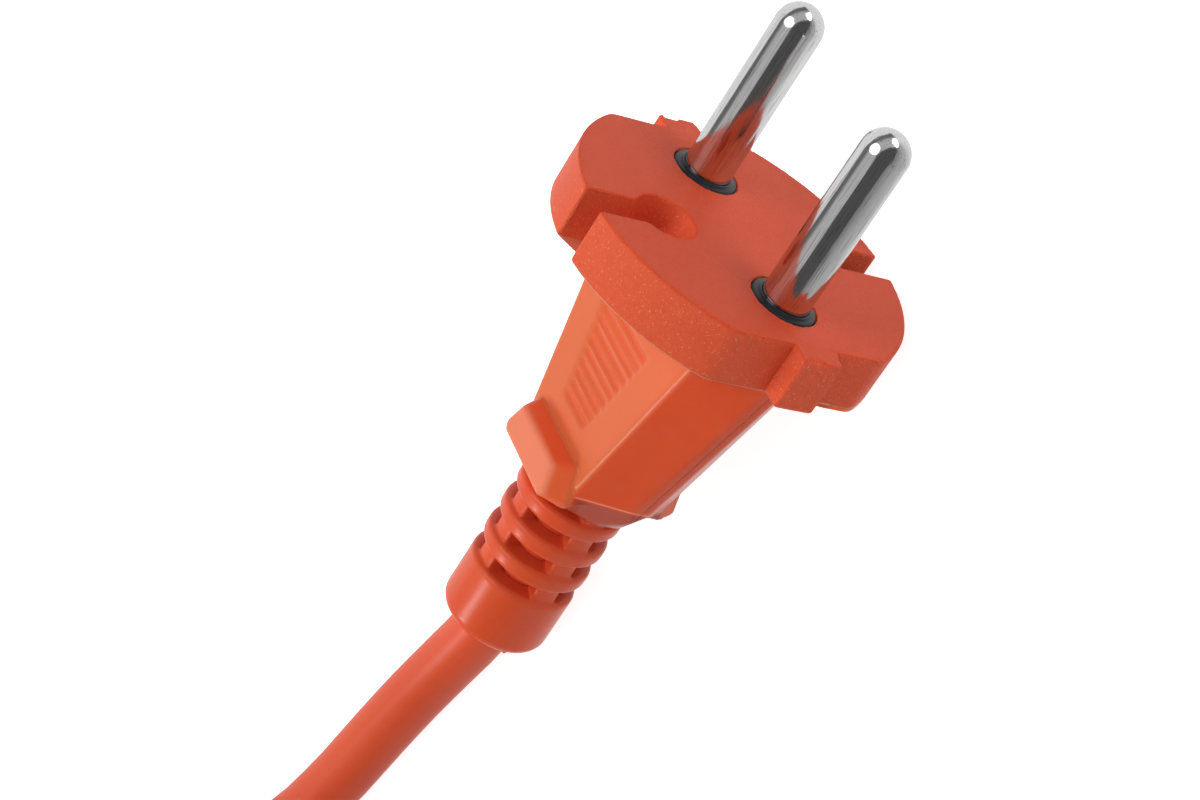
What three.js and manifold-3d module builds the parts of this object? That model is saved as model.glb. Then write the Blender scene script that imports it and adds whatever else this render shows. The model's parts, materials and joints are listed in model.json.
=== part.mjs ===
// Extension cord: a moulded two-pole contour plug, five metres of round two-core cord wound into
// a tied hank, and a moulded coupler on the far end. Millimetres, +Z up. The plug lies with its
// rear edge and the end of its bend relief on the ground, pins towards +X, and the origin is on
// the ground under the middle of the plug.
//
// Both mouldings are drawn in their own frame: +X out along the pins or out of the mouth,
// Y along the line of the two poles, Z across it. Their front face is at X = 0.
import * as THREE from 'three';
import { mergeVertices } from 'three/addons/utils/BufferGeometryUtils.js';
import Module from 'manifold-3d';

const wasm = await Module();
wasm.setup();

// ---- driving dimensions ----------------------------------------------------------------------
const GAP = 0.3;                 // clearance kept between touching pieces
const POLE = 9.5;                // half the distance between the two poles
const PIN_RADIUS = 2.4;
const PIN_LENGTH = 19.2;         // pin tip in front of the face
const CORD_RADIUS = 3.1;
const CORE_RADIUS = 1.25;        // one insulated core
const STRANDS_RADIUS = 0.7;      // the bare copper of one core

// contour disc of the plug
const DISC = {
  thickness: 5.6,
  arcRadius: 18.7,               // the long arcs above and below
  arcOffset: 1.75,               // their centres lie past the middle by this much
  flat: 15.8,                    // half the width over the two side flats
  bevel: 0.25,
};
const LUG = { tip: 17.95, tipLow: -2.45, tipHigh: 1.65, rootLow: -3.1, rootHigh: 1.75 };
const NOTCH = { halfWidth: 1.67, plainDepth: 11.2, web: 1.2 };
const KEYHOLE = { height: 8.8, radius: 3.1 };

// six-sided grips: half widths of the broad face, half height, half width at the side ridge
const PLUG_GRIP = {
  front: { x: -5.0, broad: 11.4, half: 6.0, side: 15.55 },
  rear: { x: -25.7, broad: 6.63, half: 5.5, side: 9.9 },
  end: { x: -30.0, broad: 5.3, half: 5.3, side: 6.5 },
};
const COUPLER_GRIP = {
  front: { x: -23.0, broad: 14.6, half: 9.2, side: 18.9 },
  rear: { x: -49.7, broad: 6.63, half: 5.5, side: 9.9 },
  end: { x: -54.0, broad: 5.3, half: 5.3, side: 6.5 },
};
const RIDGE_STRIP = 0.93;        // half height of the narrow strip along the side ridge
const GROOVES = { count: 10, pitch: 1.13, last: -22.8, radius: 0.5, depth: 0.3, inset: 4.6 };
const COUPLER_GROOVES = { count: 12, last: -46.8 };
const STOP = { height: 7.75, frontHalf: 4.7, rearHalf: 6.2, rake: 0.6 };

// windowed bend relief, from the end of the grip
const RELIEF = {
  radius: 5.65, neckRadius: 4.6, neckLength: 6.5,
  collar: 0.75, ring: 1.85, window: 1.6, rings: 3, sleeve: 7.3,
  round: 0.55, endRound: 1.3, webHalfAngle: 15.5 * Math.PI / 180,
};
const RELIEF_LENGTH = RELIEF.collar + RELIEF.rings * (RELIEF.ring + RELIEF.window)
  + RELIEF.window + RELIEF.sleeve;

// black carrier of the pins
const CARRIER = { front: -2.6, back: -6.6, halfWidth: 12.0, halfHeight: 3.4, collar: 3.4, proud: 0.6 };
const SHOULDER = { radius: 3.0, length: 1.2 };   // of a pin, behind the carrier

// joints between the cord and the pins or contacts, inside the mouldings
const BARREL_RADIUS = 1.7;       // outside of a crimp barrel
const BARED_LENGTH = 2.0;        // copper seen between a core's insulation and its crimp barrel
const PLUG_CRIMP = -11.2;        // rear of a pin's crimp barrel
const PLUG_SHEATH = -24.0;       // where the cord's sheath stops inside the plug
const COUPLER_CRIMP = -36.2;
const COUPLER_SHEATH = -48.0;

// coupler
const COUPLER = {
  radius: 21.6, flat: 19.4, length: 24.0, bevel: 0.8,
  recessDepth: 15.0, recessGap: 0.7, lugGap: 0.5,
};
const INSERT = { radius: 15.2, thickness: 3.0, hole: 2.9, bossRadius: 4.4, bossLength: 3.0 };
const CONTACT = { bore: 2.5, radius: 3.0, length: 13.0, slitHalf: 0.35, slitLength: 9.0, springRadius: 3.5 };

// hank: long turns stacked in layers, drawn in at the middle by the tie
const HANK = {
  nearX: -80.0, centreY: -20.0, straight: 91.0,
  outerRun: 31.0, pinch: 15.5, layers: 6, layerStep: 5.37,
};
const HANK_OUTER = HANK.outerRun + CORD_RADIUS;
const HANK_MIDDLE = HANK.nearX - HANK_OUTER - HANK.straight / 2;
const HANK_TOP = 2 * CORD_RADIUS + (HANK.layers - 1) * HANK.layerStep;
const TIE = { halfWidth: 7.5, thickness: 1.4, lift: 0.05 };

// the coupler lies on the hank: where its bend relief ends, and its turn from the hank's length
const COUPLER_SEAT = { x: -144.0, y: -10.4, turn: 12 * Math.PI / 180 };
const TAIL_LENGTH = 6.6;         // of the cord between the hank's top and the coupler's relief

// the cord's free stretch from the plug to the hank
const RUN_POINTS = [
  [-7.9, 0, 11.64], [-13.6, 0, 10.16], [-19.4, 0, 8.66], [-25.2, 0, 7.16], [-31, 0, 5.66],
  [-35, 0.3, 4.72], [-40, 1.05, 3.88], [-46, 1.5, 3.38], [-52.5, 1.35, 3.16], [-58.5, 0.92, 3.12],
  [-66.6, 1.23, 3.12], [-71.3, 2.49, 3.12], [-75.7, 4.56, 3.12], [-79.7, 7.19, 3.12], [-84.1, 9.26, 3.12],
  [-88.8, 10.52, 3.12], [-93.6, 10.95, 3.12],
];

// ---- materials -------------------------------------------------------------------------------
const finish = (color, roughness, metalness = 0) => new THREE.MeshStandardMaterial({ color, roughness, metalness });
const ORANGE = finish(0xd95a38, 0.5);
const ORANGE_CORD = finish(0xd8532f, 0.4);
const BLACK = finish(0x22262c, 0.3);
const STRAP = finish(0x1b1c1f, 0.9);
const NICKEL = finish(0xc4c6c9, 0.15, 1);
const BRASS = finish(0xc9a45c, 0.3, 1);
const STEEL = finish(0x9a9da1, 0.3, 1);
const COPPER = finish(0xc8744a, 0.35, 1);
const BROWN = finish(0x5b3420, 0.5);
const BLUE = finish(0x2b5f9e, 0.5);

// ---- shaping tools ---------------------------------------------------------------------------
// A closed three.js geometry as a solid that can be joined and cut.
function solid(source) {
  const bare = source.index ? source.clone() : mergeVertices(source.clone());
  for (const name of Object.keys(bare.attributes)) {
    if (name !== 'position') bare.deleteAttribute(name);
  }
  const merged = mergeVertices(bare, 1e-5);
  const body = new wasm.Manifold(new wasm.Mesh({
    numProp: 3,
    vertProperties: new Float32Array(merged.attributes.position.array),
    triVerts: new Uint32Array(merged.index.array),
  }));
  if (body.volume() > 0) return body;
  const flipped = Uint32Array.from(merged.index.array);
  for (let i = 0; i < flipped.length; i += 3) [flipped[i], flipped[i + 1]] = [flipped[i + 1], flipped[i]];
  return new wasm.Manifold(new wasm.Mesh({
    numProp: 3, vertProperties: new Float32Array(merged.attributes.position.array), triVerts: flipped,
  }));
}

const joined = (first, ...others) => others.reduce((sum, next) => sum.add(next), first);
const cut = (first, ...others) => others.reduce((rest, next) => rest.subtract(next), first);

// A named mesh from a solid.
function piece(name, body, material) {
  const { vertProperties, triVerts } = body.getMesh();
  const geometry = new THREE.BufferGeometry();
  geometry.setAttribute('position', new THREE.BufferAttribute(vertProperties, 3));
  geometry.setIndex(new THREE.BufferAttribute(triVerts, 1));
  geometry.computeVertexNormals();
  const mesh = new THREE.Mesh(geometry, material);
  mesh.name = name;
  return mesh;
}

// A shape drawn in (Y, Z), carried along X from one station to another.
function prism(shape, fromX, toX, bevel = 0, curveSegments = 24) {
  const geometry = new THREE.ExtrudeGeometry(shape, {
    depth: toX - fromX - 2 * bevel, curveSegments,
    bevelEnabled: bevel > 0, bevelThickness: bevel, bevelSize: bevel, bevelOffset: -bevel, bevelSegments: 1,
  });
  const axes = new THREE.Matrix4().makeBasis(
    new THREE.Vector3(0, 1, 0), new THREE.Vector3(0, 0, 1), new THREE.Vector3(1, 0, 0));
  return solid(geometry.applyMatrix4(axes).translate(fromX + bevel, 0, 0));
}

// A profile of [x, radius] points turned round the X axis, then moved across it.
function turned(profile, segments = 32, y = 0, z = 0) {
  const points = profile.map(([x, radius]) => new THREE.Vector2(radius, x));
  return solid(new THREE.LatheGeometry(points, segments).rotateZ(-Math.PI / 2).translate(0, y, z));
}

const rod = (fromX, toX, radius, segments = 24, y = 0, z = 0) => turned(
  [[fromX, 0], [fromX, radius], [toX, radius], [toX, 0]], segments, y, z);

// A block between two corners.
function block([x0, y0, z0], [x1, y1, z1]) {
  const box = new THREE.BoxGeometry(x1 - x0, y1 - y0, z1 - z0);
  return solid(box.translate((x0 + x1) / 2, (y0 + y1) / 2, (z0 + z1) / 2));
}

// A skin through rings of points, each with the same number of points, closed by flat ends.
function loft(rings) {
  const count = rings[0].length;
  const positions = rings.flat().flat();
  const index = [];
  for (let r = 0; r + 1 < rings.length; r++) {
    for (let i = 0; i < count; i++) {
      const a = r * count + i;
      const b = r * count + (i + 1) % count;
      index.push(a, b, b + count, a, b + count, a + count);
    }
  }
  const last = (rings.length - 1) * count;
  for (let i = 1; i + 1 < count; i++) {
    index.push(0, i + 1, i, last, last + i, last + i + 1);
  }
  const geometry = new THREE.BufferGeometry();
  geometry.setAttribute('position', new THREE.Float32BufferAttribute(positions, 3));
  geometry.setIndex(index);
  return solid(geometry);
}

// A round bar along a smooth curve through points.
function bar(points, radius, sides, steps) {
  const section = new THREE.Shape();
  for (let i = 0; i < sides; i++) {
    const angle = 2 * Math.PI * i / sides;
    const [x, y] = [radius * Math.cos(angle), radius * Math.sin(angle)];
    if (i === 0) section.moveTo(x, y); else section.lineTo(x, y);
  }
  section.closePath();
  const path = new THREE.CatmullRomCurve3(points.map((p) => new THREE.Vector3(...p)), false, 'centripetal');
  return solid(new THREE.ExtrudeGeometry(section, { steps, bevelEnabled: false, extrudePath: path }));
}

// ---- shapes both mouldings share --------------------------------------------------------------
// The contour outline: long arcs above and below, flats at the sides, grown outwards by `grow`.
function contour(grow = 0) {
  const radius = DISC.arcRadius + grow;
  const flat = DISC.flat + grow;
  const half = Math.asin(flat / radius);
  const shape = new THREE.Shape();
  shape.absarc(0, -DISC.arcOffset, radius, Math.PI / 2 - half, Math.PI / 2 + half, false);
  shape.absarc(0, DISC.arcOffset, radius, 1.5 * Math.PI - half, 1.5 * Math.PI + half, false);
  shape.closePath();
  return shape;
}

// The side lug, or with `grow` the channel that takes it, on the side where Y has sign `side`.
function lug(side, grow = 0) {
  const root = DISC.flat - 1;
  const corners = [
    [root, LUG.rootHigh + grow], [root, LUG.rootLow - grow],
    [LUG.tip + grow, LUG.tipLow - grow], [LUG.tip + grow, LUG.tipHigh + grow],
  ];
  const shape = new THREE.Shape(corners.map(([y, z]) => new THREE.Vector2(side * y, z)));
  return shape;
}

// The eight corners of a grip's section, in order round it.
function gripRing({ x, broad, half, side }, shrink = 0) {
  const strip = RIDGE_STRIP;
  const [a, b, c] = [broad - shrink, half - shrink, side - shrink];
  return [[c, -strip], [c, strip], [a, b], [-a, b], [-c, strip], [-c, -strip], [-a, -b], [a, -b]]
    .map(([y, z]) => [x, y, z]);
}

// The raised stop at the rear of the broad face, above where `sign` is 1 and below where it is -1.
function stopRidge(grip, sign) {
  const front = grip.rear.x;
  const rear = grip.end.x;
  const ring = (z, inset) => {
    const corners = [
      [front - inset, -STOP.frontHalf], [front - inset, STOP.frontHalf],
      [rear + inset / 2, STOP.rearHalf], [rear + inset / 2, -STOP.rearHalf],
    ];
    return corners.map(([x, y]) => [x, y, sign * z]);
  };
  return loft([ring(grip.rear.half - 1.5, 0), ring(grip.rear.half, 0), ring(STOP.height, STOP.rake)]);
}

// Shallow finger grooves across both broad faces, shorter towards the rear as the face narrows.
function grooves(grip, lastX, count) {
  const cutters = [];
  for (let i = 0; i < count; i++) {
    const x = lastX + i * GROOVES.pitch;
    const t = (x - grip.front.x) / (grip.rear.x - grip.front.x);
    const face = THREE.MathUtils.lerp(grip.front.half, grip.rear.half, t);
    const reach = THREE.MathUtils.lerp(grip.front.broad, grip.rear.broad, t) - GROOVES.inset;
    const height = face + GROOVES.radius - GROOVES.depth;
    for (const sign of [1, -1]) {
      const cutter = new THREE.CylinderGeometry(GROOVES.radius, GROOVES.radius, 2 * reach, 10);
      cutters.push(solid(cutter.translate(x, 0, sign * height)));
    }
  }
  return cutters;
}

// The six-sided grip with its two stops and its grooves.
function grip(shape, lastGroove, grooveCount) {
  const body = joined(
    loft([gripRing(shape.end), gripRing(shape.rear), gripRing(shape.front)]),
    stopRidge(shape, 1), stopRidge(shape, -1));
  return cut(body, ...grooves(shape, lastGroove, grooveCount));
}

// The bend relief: a neck that the grip is moulded over, rings with windows between them, and a
// long end sleeve with a rounded lip. Four webs join the rings, one towards each side.
function relief(name, gripEnd, segments) {
  const { radius, round, endRound } = RELIEF;
  const bore = CORD_RADIUS + GAP;
  const start = gripEnd - GAP;
  const end = gripEnd - RELIEF_LENGTH;
  const body = turned([
    [gripEnd + RELIEF.neckLength, bore], [gripEnd + RELIEF.neckLength, RELIEF.neckRadius],
    [start, RELIEF.neckRadius], [start, radius - 0.1], [start - 0.1, radius],
    [end + endRound, radius], [end + endRound * 0.3, radius - endRound * 0.3],
    [end, radius - endRound], [end, bore], [gripEnd + RELIEF.neckLength, bore],
  ], segments);
  const cutters = [];
  for (let i = 0; i <= RELIEF.rings; i++) {
    const front = gripEnd - RELIEF.collar - i * (RELIEF.ring + RELIEF.window);
    const back = front - RELIEF.window;
    const band = turned([
      [front, bore - 1], [front, radius - round], [front + round, radius + 0.01], [front + round, radius + 1],
      [back - round, radius + 1], [back - round, radius + 0.01], [back, radius - round], [back, bore - 1],
      [front, bore - 1],
    ], segments);
    cutters.push(cut(band, ...windowWebs(back - 1, front + 1, i === 0 ? radius - round : radius - 0.35)));
  }
  return piece(name, cut(body, ...cutters), ORANGE);
}

// The four webs that stay between two rings.
function windowWebs(backX, frontX, radius) {
  const half = RELIEF.webHalfAngle;
  const webs = [];
  for (let i = 0; i < 4; i++) {
    const middle = i * Math.PI / 2;
    const shape = new THREE.Shape();
    shape.moveTo(0.5 * Math.cos(middle), 0.5 * Math.sin(middle));
    shape.absarc(0, 0, radius, middle - half, middle + half, false);
    shape.closePath();
    webs.push(prism(shape, backX, frontX, 0, 4));
  }
  return webs;
}

// One insulated core from the cord's sheath out to its pole, and the bare strands on its end.
// `side` is the sign of the pole's Y.
function core(plugOrCoupler, side, sheathX, crimpX, material, colour) {
  const bared = crimpX - BARED_LENGTH;
  const near = side * (CORE_RADIUS + 0.2);
  const path = [
    [sheathX + GAP, near, 0], [sheathX + 2.0, near, 0],
    [(sheathX + bared) / 2, side * POLE * 0.58, 0],
    [bared - 1.4, side * POLE * 0.97, 0], [bared, side * POLE, 0],
  ];
  return [
    piece(`${plugOrCoupler}_core_${colour}`, bar(path, CORE_RADIUS, 10, 14), material),
    piece(`${plugOrCoupler}_strands_${colour}`, rod(bared + GAP, crimpX + 1.6, STRANDS_RADIUS, 10, side * POLE), COPPER),
  ];
}

// The flat pocket round the crimp barrels and the cores, which run in from the poles to the sheath.
function fanPocket(frontX, bendX, sheathX) {
  const half = BARREL_RADIUS + GAP;
  const [wide, narrow] = [POLE + half, CORD_RADIUS + 1.1];
  const shape = new THREE.Shape([
    [-wide, frontX], [wide, frontX], [wide, bendX], [narrow, sheathX], [-narrow, sheathX], [-wide, bendX],
  ].map(([y, x]) => new THREE.Vector2(y, x)));
  const geometry = new THREE.ExtrudeGeometry(shape, { depth: 2 * half, bevelEnabled: false });
  const axes = new THREE.Matrix4().makeBasis(
    new THREE.Vector3(0, 1, 0), new THREE.Vector3(1, 0, 0), new THREE.Vector3(0, 0, -1));
  return solid(geometry.applyMatrix4(axes).translate(0, 0, half));
}

// ---- plug ------------------------------------------------------------------------------------
function plugBody() {
  const disc = joined(
    prism(contour(), -DISC.thickness, 0, DISC.bevel, 20),
    prism(lug(1), -DISC.thickness, 0, DISC.bevel), prism(lug(-1), -DISC.thickness, 0, DISC.bevel));
  const width = NOTCH.halfWidth;
  const beyond = DISC.arcRadius + 1;
  const keySlot = block([-DISC.thickness + NOTCH.web, -width, KEYHOLE.height], [1, width, beyond]);
  const keyHole = rod(-DISC.thickness + NOTCH.web, 1, KEYHOLE.radius, 28, 0, KEYHOLE.height);
  const plainSlot = joined(
    block([-DISC.thickness - 1, -width, -beyond], [1, width, -NOTCH.plainDepth]),
    rod(-DISC.thickness - 1, 1, width, 16, 0, -NOTCH.plainDepth));
  const shell = joined(
    cut(disc, keySlot, keyHole, plainSlot),
    grip(PLUG_GRIP, GROOVES.last, GROOVES.count));

  const room = GAP;
  const carrierRoom = block(
    [CARRIER.back - room, -CARRIER.halfWidth - room, -CARRIER.halfHeight - room],
    [CARRIER.front + room, CARRIER.halfWidth + room, CARRIER.halfHeight + room]);
  const collarRooms = [1, -1].map((side) => rod(CARRIER.front - 1, 1, CARRIER.collar + room, 32, side * POLE));
  const poleRoom = fanPocket(CARRIER.back, PLUG_CRIMP - BARED_LENGTH - 1.2, PLUG_SHEATH);
  const shoulderRooms = [1, -1].map((side) => rod(
    CARRIER.back - SHOULDER.length - 2 * room, CARRIER.back, SHOULDER.radius + room, 28, side * POLE));
  const neckRoom = rod(PLUG_GRIP.end.x - 1, PLUG_GRIP.end.x + RELIEF.neckLength + room,
    RELIEF.neckRadius + room, 40);
  return piece('plug_body', cut(shell, carrierRoom, ...collarRooms, poleRoom, ...shoulderRooms, neckRoom), ORANGE);
}

function pinCarrier() {
  const plate = block(
    [CARRIER.back, -CARRIER.halfWidth, -CARRIER.halfHeight],
    [CARRIER.front, CARRIER.halfWidth, CARRIER.halfHeight]);
  const collars = [1, -1].map((side) => turned([
    [CARRIER.front - 1, 0], [CARRIER.front - 1, CARRIER.collar], [CARRIER.proud - 0.25, CARRIER.collar],
    [CARRIER.proud, CARRIER.collar - 0.25], [CARRIER.proud, 0],
  ], 32, side * POLE));
  const bores = [1, -1].map((side) => rod(CARRIER.back - 1, 1, PIN_RADIUS + GAP, 28, side * POLE));
  return piece('pin_carrier', cut(joined(plate, ...collars), ...bores), BLACK);
}

// A turned pin: round nose, shank, a shoulder behind the carrier and a hollow crimp barrel.
function pin(name, side) {
  const noseStart = PIN_LENGTH - PIN_RADIUS;
  const nose = [];
  for (let i = 0; i <= 6; i++) {
    const angle = i * Math.PI / 12;
    nose.push([noseStart + PIN_RADIUS * Math.sin(angle), i === 6 ? 0 : PIN_RADIUS * Math.cos(angle)]);
  }
  const shoulder = CARRIER.back - GAP;
  const body = turned([
    [PLUG_CRIMP, STRANDS_RADIUS + GAP], [PLUG_CRIMP, BARREL_RADIUS], [shoulder - SHOULDER.length, BARREL_RADIUS],
    [shoulder - SHOULDER.length, SHOULDER.radius], [shoulder, SHOULDER.radius], [shoulder, PIN_RADIUS], ...nose,
    [PLUG_CRIMP + 2.2, 0], [PLUG_CRIMP + 2.2, STRANDS_RADIUS + GAP], [PLUG_CRIMP, STRANDS_RADIUS + GAP],
  ], 28, side * POLE);
  return piece(name, body, NICKEL);
}

// ---- coupler ---------------------------------------------------------------------------------
function couplerBody() {
  const half = Math.asin(COUPLER.flat / COUPLER.radius);
  const outline = new THREE.Shape();
  outline.absarc(0, 0, COUPLER.radius, Math.PI / 2 - half, Math.PI / 2 + half, false);
  outline.absarc(0, 0, COUPLER.radius, 1.5 * Math.PI - half, 1.5 * Math.PI + half, false);
  outline.closePath();
  const shell = joined(
    prism(outline, -COUPLER.length, 0, COUPLER.bevel, 24),
    grip(COUPLER_GRIP, COUPLER_GROOVES.last, COUPLER_GROOVES.count));
  const recess = joined(
    prism(contour(COUPLER.recessGap), -COUPLER.recessDepth, 1, 0, 16),
    prism(lug(1, COUPLER.lugGap), -COUPLER.recessDepth, 1),
    prism(lug(-1, COUPLER.lugGap), -COUPLER.recessDepth, 1));
  const insertBack = -COUPLER.recessDepth - INSERT.thickness;
  const insertRoom = rod(insertBack - GAP, -COUPLER.recessDepth + 0.1, INSERT.radius + GAP, 36);
  const bossBack = insertBack - INSERT.bossLength - GAP;
  const contactBack = insertBack - CONTACT.length - 3 * GAP;
  const poleRooms = [1, -1].flatMap((side) => [
    rod(bossBack, insertBack, INSERT.bossRadius + GAP, 24, side * POLE),
    rod(contactBack, insertBack, CONTACT.springRadius + 2 * GAP, 24, side * POLE),
  ]);
  const neckRoom = rod(COUPLER_GRIP.end.x - 1, COUPLER_GRIP.end.x + RELIEF.neckLength + GAP,
    RELIEF.neckRadius + GAP, 40);
  return piece('coupler_body', cut(shell, recess, insertRoom, ...poleRooms,
    fanPocket(contactBack + 1, COUPLER_CRIMP - BARED_LENGTH - 1.2, COUPLER_SHEATH), neckRoom), ORANGE);
}

function socketInsert() {
  const front = -COUPLER.recessDepth;
  const back = front - INSERT.thickness;
  const plate = rod(back, front, INSERT.radius, 36);
  const bosses = [1, -1].map((side) => rod(back - INSERT.bossLength, back + 1, INSERT.bossRadius, 24, side * POLE));
  const holes = [1, -1].map((side) => rod(back - INSERT.bossLength - 1, front + 1, INSERT.hole, 24, side * POLE));
  const seats = [1, -1].map((side) => rod(back - INSERT.bossLength - 1, back, CONTACT.radius + GAP, 24, side * POLE));
  return piece('socket_insert', cut(joined(plate, ...bosses), ...holes, ...seats), BLACK);
}

// A turned contact sleeve, slit lengthways so that it grips the pin, with a crimp barrel behind.
function contactSleeve(name, side) {
  const front = -COUPLER.recessDepth - INSERT.thickness - GAP;
  const back = front - CONTACT.length;
  const tube = turned([
    [COUPLER_CRIMP, STRANDS_RADIUS + GAP], [COUPLER_CRIMP, BARREL_RADIUS], [back, BARREL_RADIUS],
    [back, CONTACT.radius],
    [front, CONTACT.radius], [front, CONTACT.bore], [back + 1.5, CONTACT.bore], [back + 1.5, 0],
    [COUPLER_CRIMP + 2.4, 0], [COUPLER_CRIMP + 2.4, STRANDS_RADIUS + GAP], [COUPLER_CRIMP, STRANDS_RADIUS + GAP],
  ], 24, side * POLE);
  const slit = block(
    [front - CONTACT.slitLength, side * POLE - 5, -CONTACT.slitHalf],
    [front + 1, side * POLE + 5, CONTACT.slitHalf]);
  return piece(name, cut(tube, slit), BRASS);
}

// The spring ring round the sleeve, open on one side.
function contactSpring(name, side) {
  const middle = -COUPLER.recessDepth - INSERT.thickness - INSERT.bossLength - 3.0;
  const ring = turned([
    [middle - 1.5, CONTACT.radius + 0.15], [middle - 1.5, CONTACT.springRadius + 0.2],
    [middle + 1.5, CONTACT.springRadius + 0.2], [middle + 1.5, CONTACT.radius + 0.15],
    [middle - 1.5, CONTACT.radius + 0.15],
  ], 24, side * POLE);
  const opening = block([middle - 2, side * POLE - 0.8, 0], [middle + 2, side * POLE + 0.8, 5]);
  return piece(name, cut(ring, opening), STEEL);
}

// ---- hank and tie ----------------------------------------------------------------------------
// Half width of the hank at a distance from its middle, drawn in towards the tie.
const hankHalf = (fromMiddle) => HANK_OUTER
  - HANK.pinch * (1 + Math.cos(2 * Math.PI * fromMiddle / HANK.straight)) / 2;

function hank() {
  const outline = [];
  const sideSteps = 20;
  const endSteps = 14;
  for (const way of [1, -1]) {
    for (let i = 0; i < sideSteps; i++) {
      const x = HANK.straight * (0.5 - i / sideSteps);
      outline.push(new THREE.Vector2(HANK_MIDDLE + way * x, HANK.centreY + way * hankHalf(x)));
    }
    for (let i = 0; i < endSteps; i++) {
      const angle = Math.PI * (0.5 + i / endSteps);
      outline.push(new THREE.Vector2(
        HANK_MIDDLE + way * (-HANK.straight / 2 + HANK_OUTER * Math.cos(angle)),
        HANK.centreY + way * HANK_OUTER * Math.sin(angle)));
    }
  }
  const stack = solid(new THREE.ExtrudeGeometry(new THREE.Shape(outline), { depth: HANK_TOP, bevelEnabled: false }));
  const underTie = block(
    [HANK_MIDDLE - TIE.halfWidth - GAP, HANK.centreY - HANK_OUTER, -1],
    [HANK_MIDDLE + TIE.halfWidth + GAP, HANK.centreY + HANK_OUTER, TIE.lift + TIE.thickness + GAP]);
  return piece('cord_hank', cut(stack, underTie), ORANGE_CORD);
}

// A strap wound once round the waist of the hank: a closed band with rounded corners.
function tie() {
  const half = hankHalf(TIE.halfWidth + GAP) + 2 * GAP;
  const band = (grow) => {
    const shape = new THREE.Shape();
    const r = grow + 1.0;
    const [y0, y1] = [HANK.centreY - half - grow, HANK.centreY + half + grow];
    const low = TIE.lift + TIE.thickness - grow;
    const high = HANK_TOP + GAP + grow;
    shape.absarc(y1 - r, low + r, r, -Math.PI / 2, 0, false);
    shape.absarc(y1 - r, high - r, r, 0, Math.PI / 2, false);
    shape.absarc(y0 + r, high - r, r, Math.PI / 2, Math.PI, false);
    shape.absarc(y0 + r, low + r, r, Math.PI, 1.5 * Math.PI, false);
    return shape;
  };
  const [fromX, toX] = [HANK_MIDDLE - TIE.halfWidth, HANK_MIDDLE + TIE.halfWidth];
  return piece('cord_tie', cut(prism(band(TIE.thickness), fromX, toX, 0, 4), prism(band(0), fromX - 1, toX + 1, 0, 4)), STRAP);
}

// ---- assembly --------------------------------------------------------------------------------
const cordFrame = new THREE.Group();

// The plug leans back until the rear edge of its disc and the lip of its bend relief both touch
// the ground.
const discLow = -DISC.arcOffset + Math.sqrt(DISC.arcRadius ** 2 - NOTCH.halfWidth ** 2);
const lipX = PLUG_GRIP.end.x - RELIEF_LENGTH + RELIEF.endRound;
const discX = -DISC.thickness + DISC.bevel;
const lean = Math.atan((discLow - RELIEF.radius) / (discX - lipX));
const plug = new THREE.Group();
plug.rotation.y = -lean;
plug.add(plugBody(), pinCarrier(), pin('pin_1', 1), pin('pin_2', -1), relief('plug_bend_relief', PLUG_GRIP.end.x, 28));
plug.add(...core('plug', 1, PLUG_SHEATH, PLUG_CRIMP, BROWN, 'brown'));
plug.add(...core('plug', -1, PLUG_SHEATH, PLUG_CRIMP, BLUE, 'blue'));
const plugBox = new THREE.Box3().setFromObject(plug, true);
plug.position.set(-(plugBox.min.x + plugBox.max.x) / 2, 0, -plugBox.min.z);
cordFrame.add(plug);

// The coupler leans the same way on top of the hank, its mouth away from the plug.
const reliefEnd = COUPLER_GRIP.end.x - RELIEF_LENGTH;
const couplerLean = Math.atan(
  (COUPLER.radius - RELIEF.radius) / (COUPLER.bevel - COUPLER.length - reliefEnd - RELIEF.endRound));
const coupler = new THREE.Group();
coupler.rotation.set(0, -couplerLean, Math.PI + COUPLER_SEAT.turn, 'ZYX');
coupler.add(couplerBody(), socketInsert(), relief('coupler_bend_relief', COUPLER_GRIP.end.x, 20));
for (const [number, side] of [[1, 1], [2, -1]]) {
  coupler.add(contactSleeve(`contact_sleeve_${number}`, side), contactSpring(`contact_spring_${number}`, side));
}
coupler.add(...core('coupler', 1, COUPLER_SHEATH, COUPLER_CRIMP, BLUE, 'blue'));
coupler.add(...core('coupler', -1, COUPLER_SHEATH, COUPLER_CRIMP, BROWN, 'brown'));
coupler.add(piece('cord_tail', rod(reliefEnd - TAIL_LENGTH, COUPLER_SHEATH, CORD_RADIUS, 12), ORANGE_CORD));
const reach = reliefEnd * Math.cos(couplerLean);
const couplerLow = new THREE.Box3().setFromObject(coupler, true).min.z;
coupler.position.set(
  COUPLER_SEAT.x + reach * Math.cos(COUPLER_SEAT.turn), COUPLER_SEAT.y + reach * Math.sin(COUPLER_SEAT.turn),
  HANK_TOP + GAP - couplerLow);
cordFrame.add(coupler);

cordFrame.add(piece('cord_run', bar(RUN_POINTS, CORD_RADIUS, 12, 26), ORANGE_CORD), hank(), tie());

export default cordFrame;
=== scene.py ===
"""Extension cord: moulded contour plug, round cord in a tied hank, moulded coupler.

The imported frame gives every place. Lengths below are millimetres until they enter a mesh.
"""
import json

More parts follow.
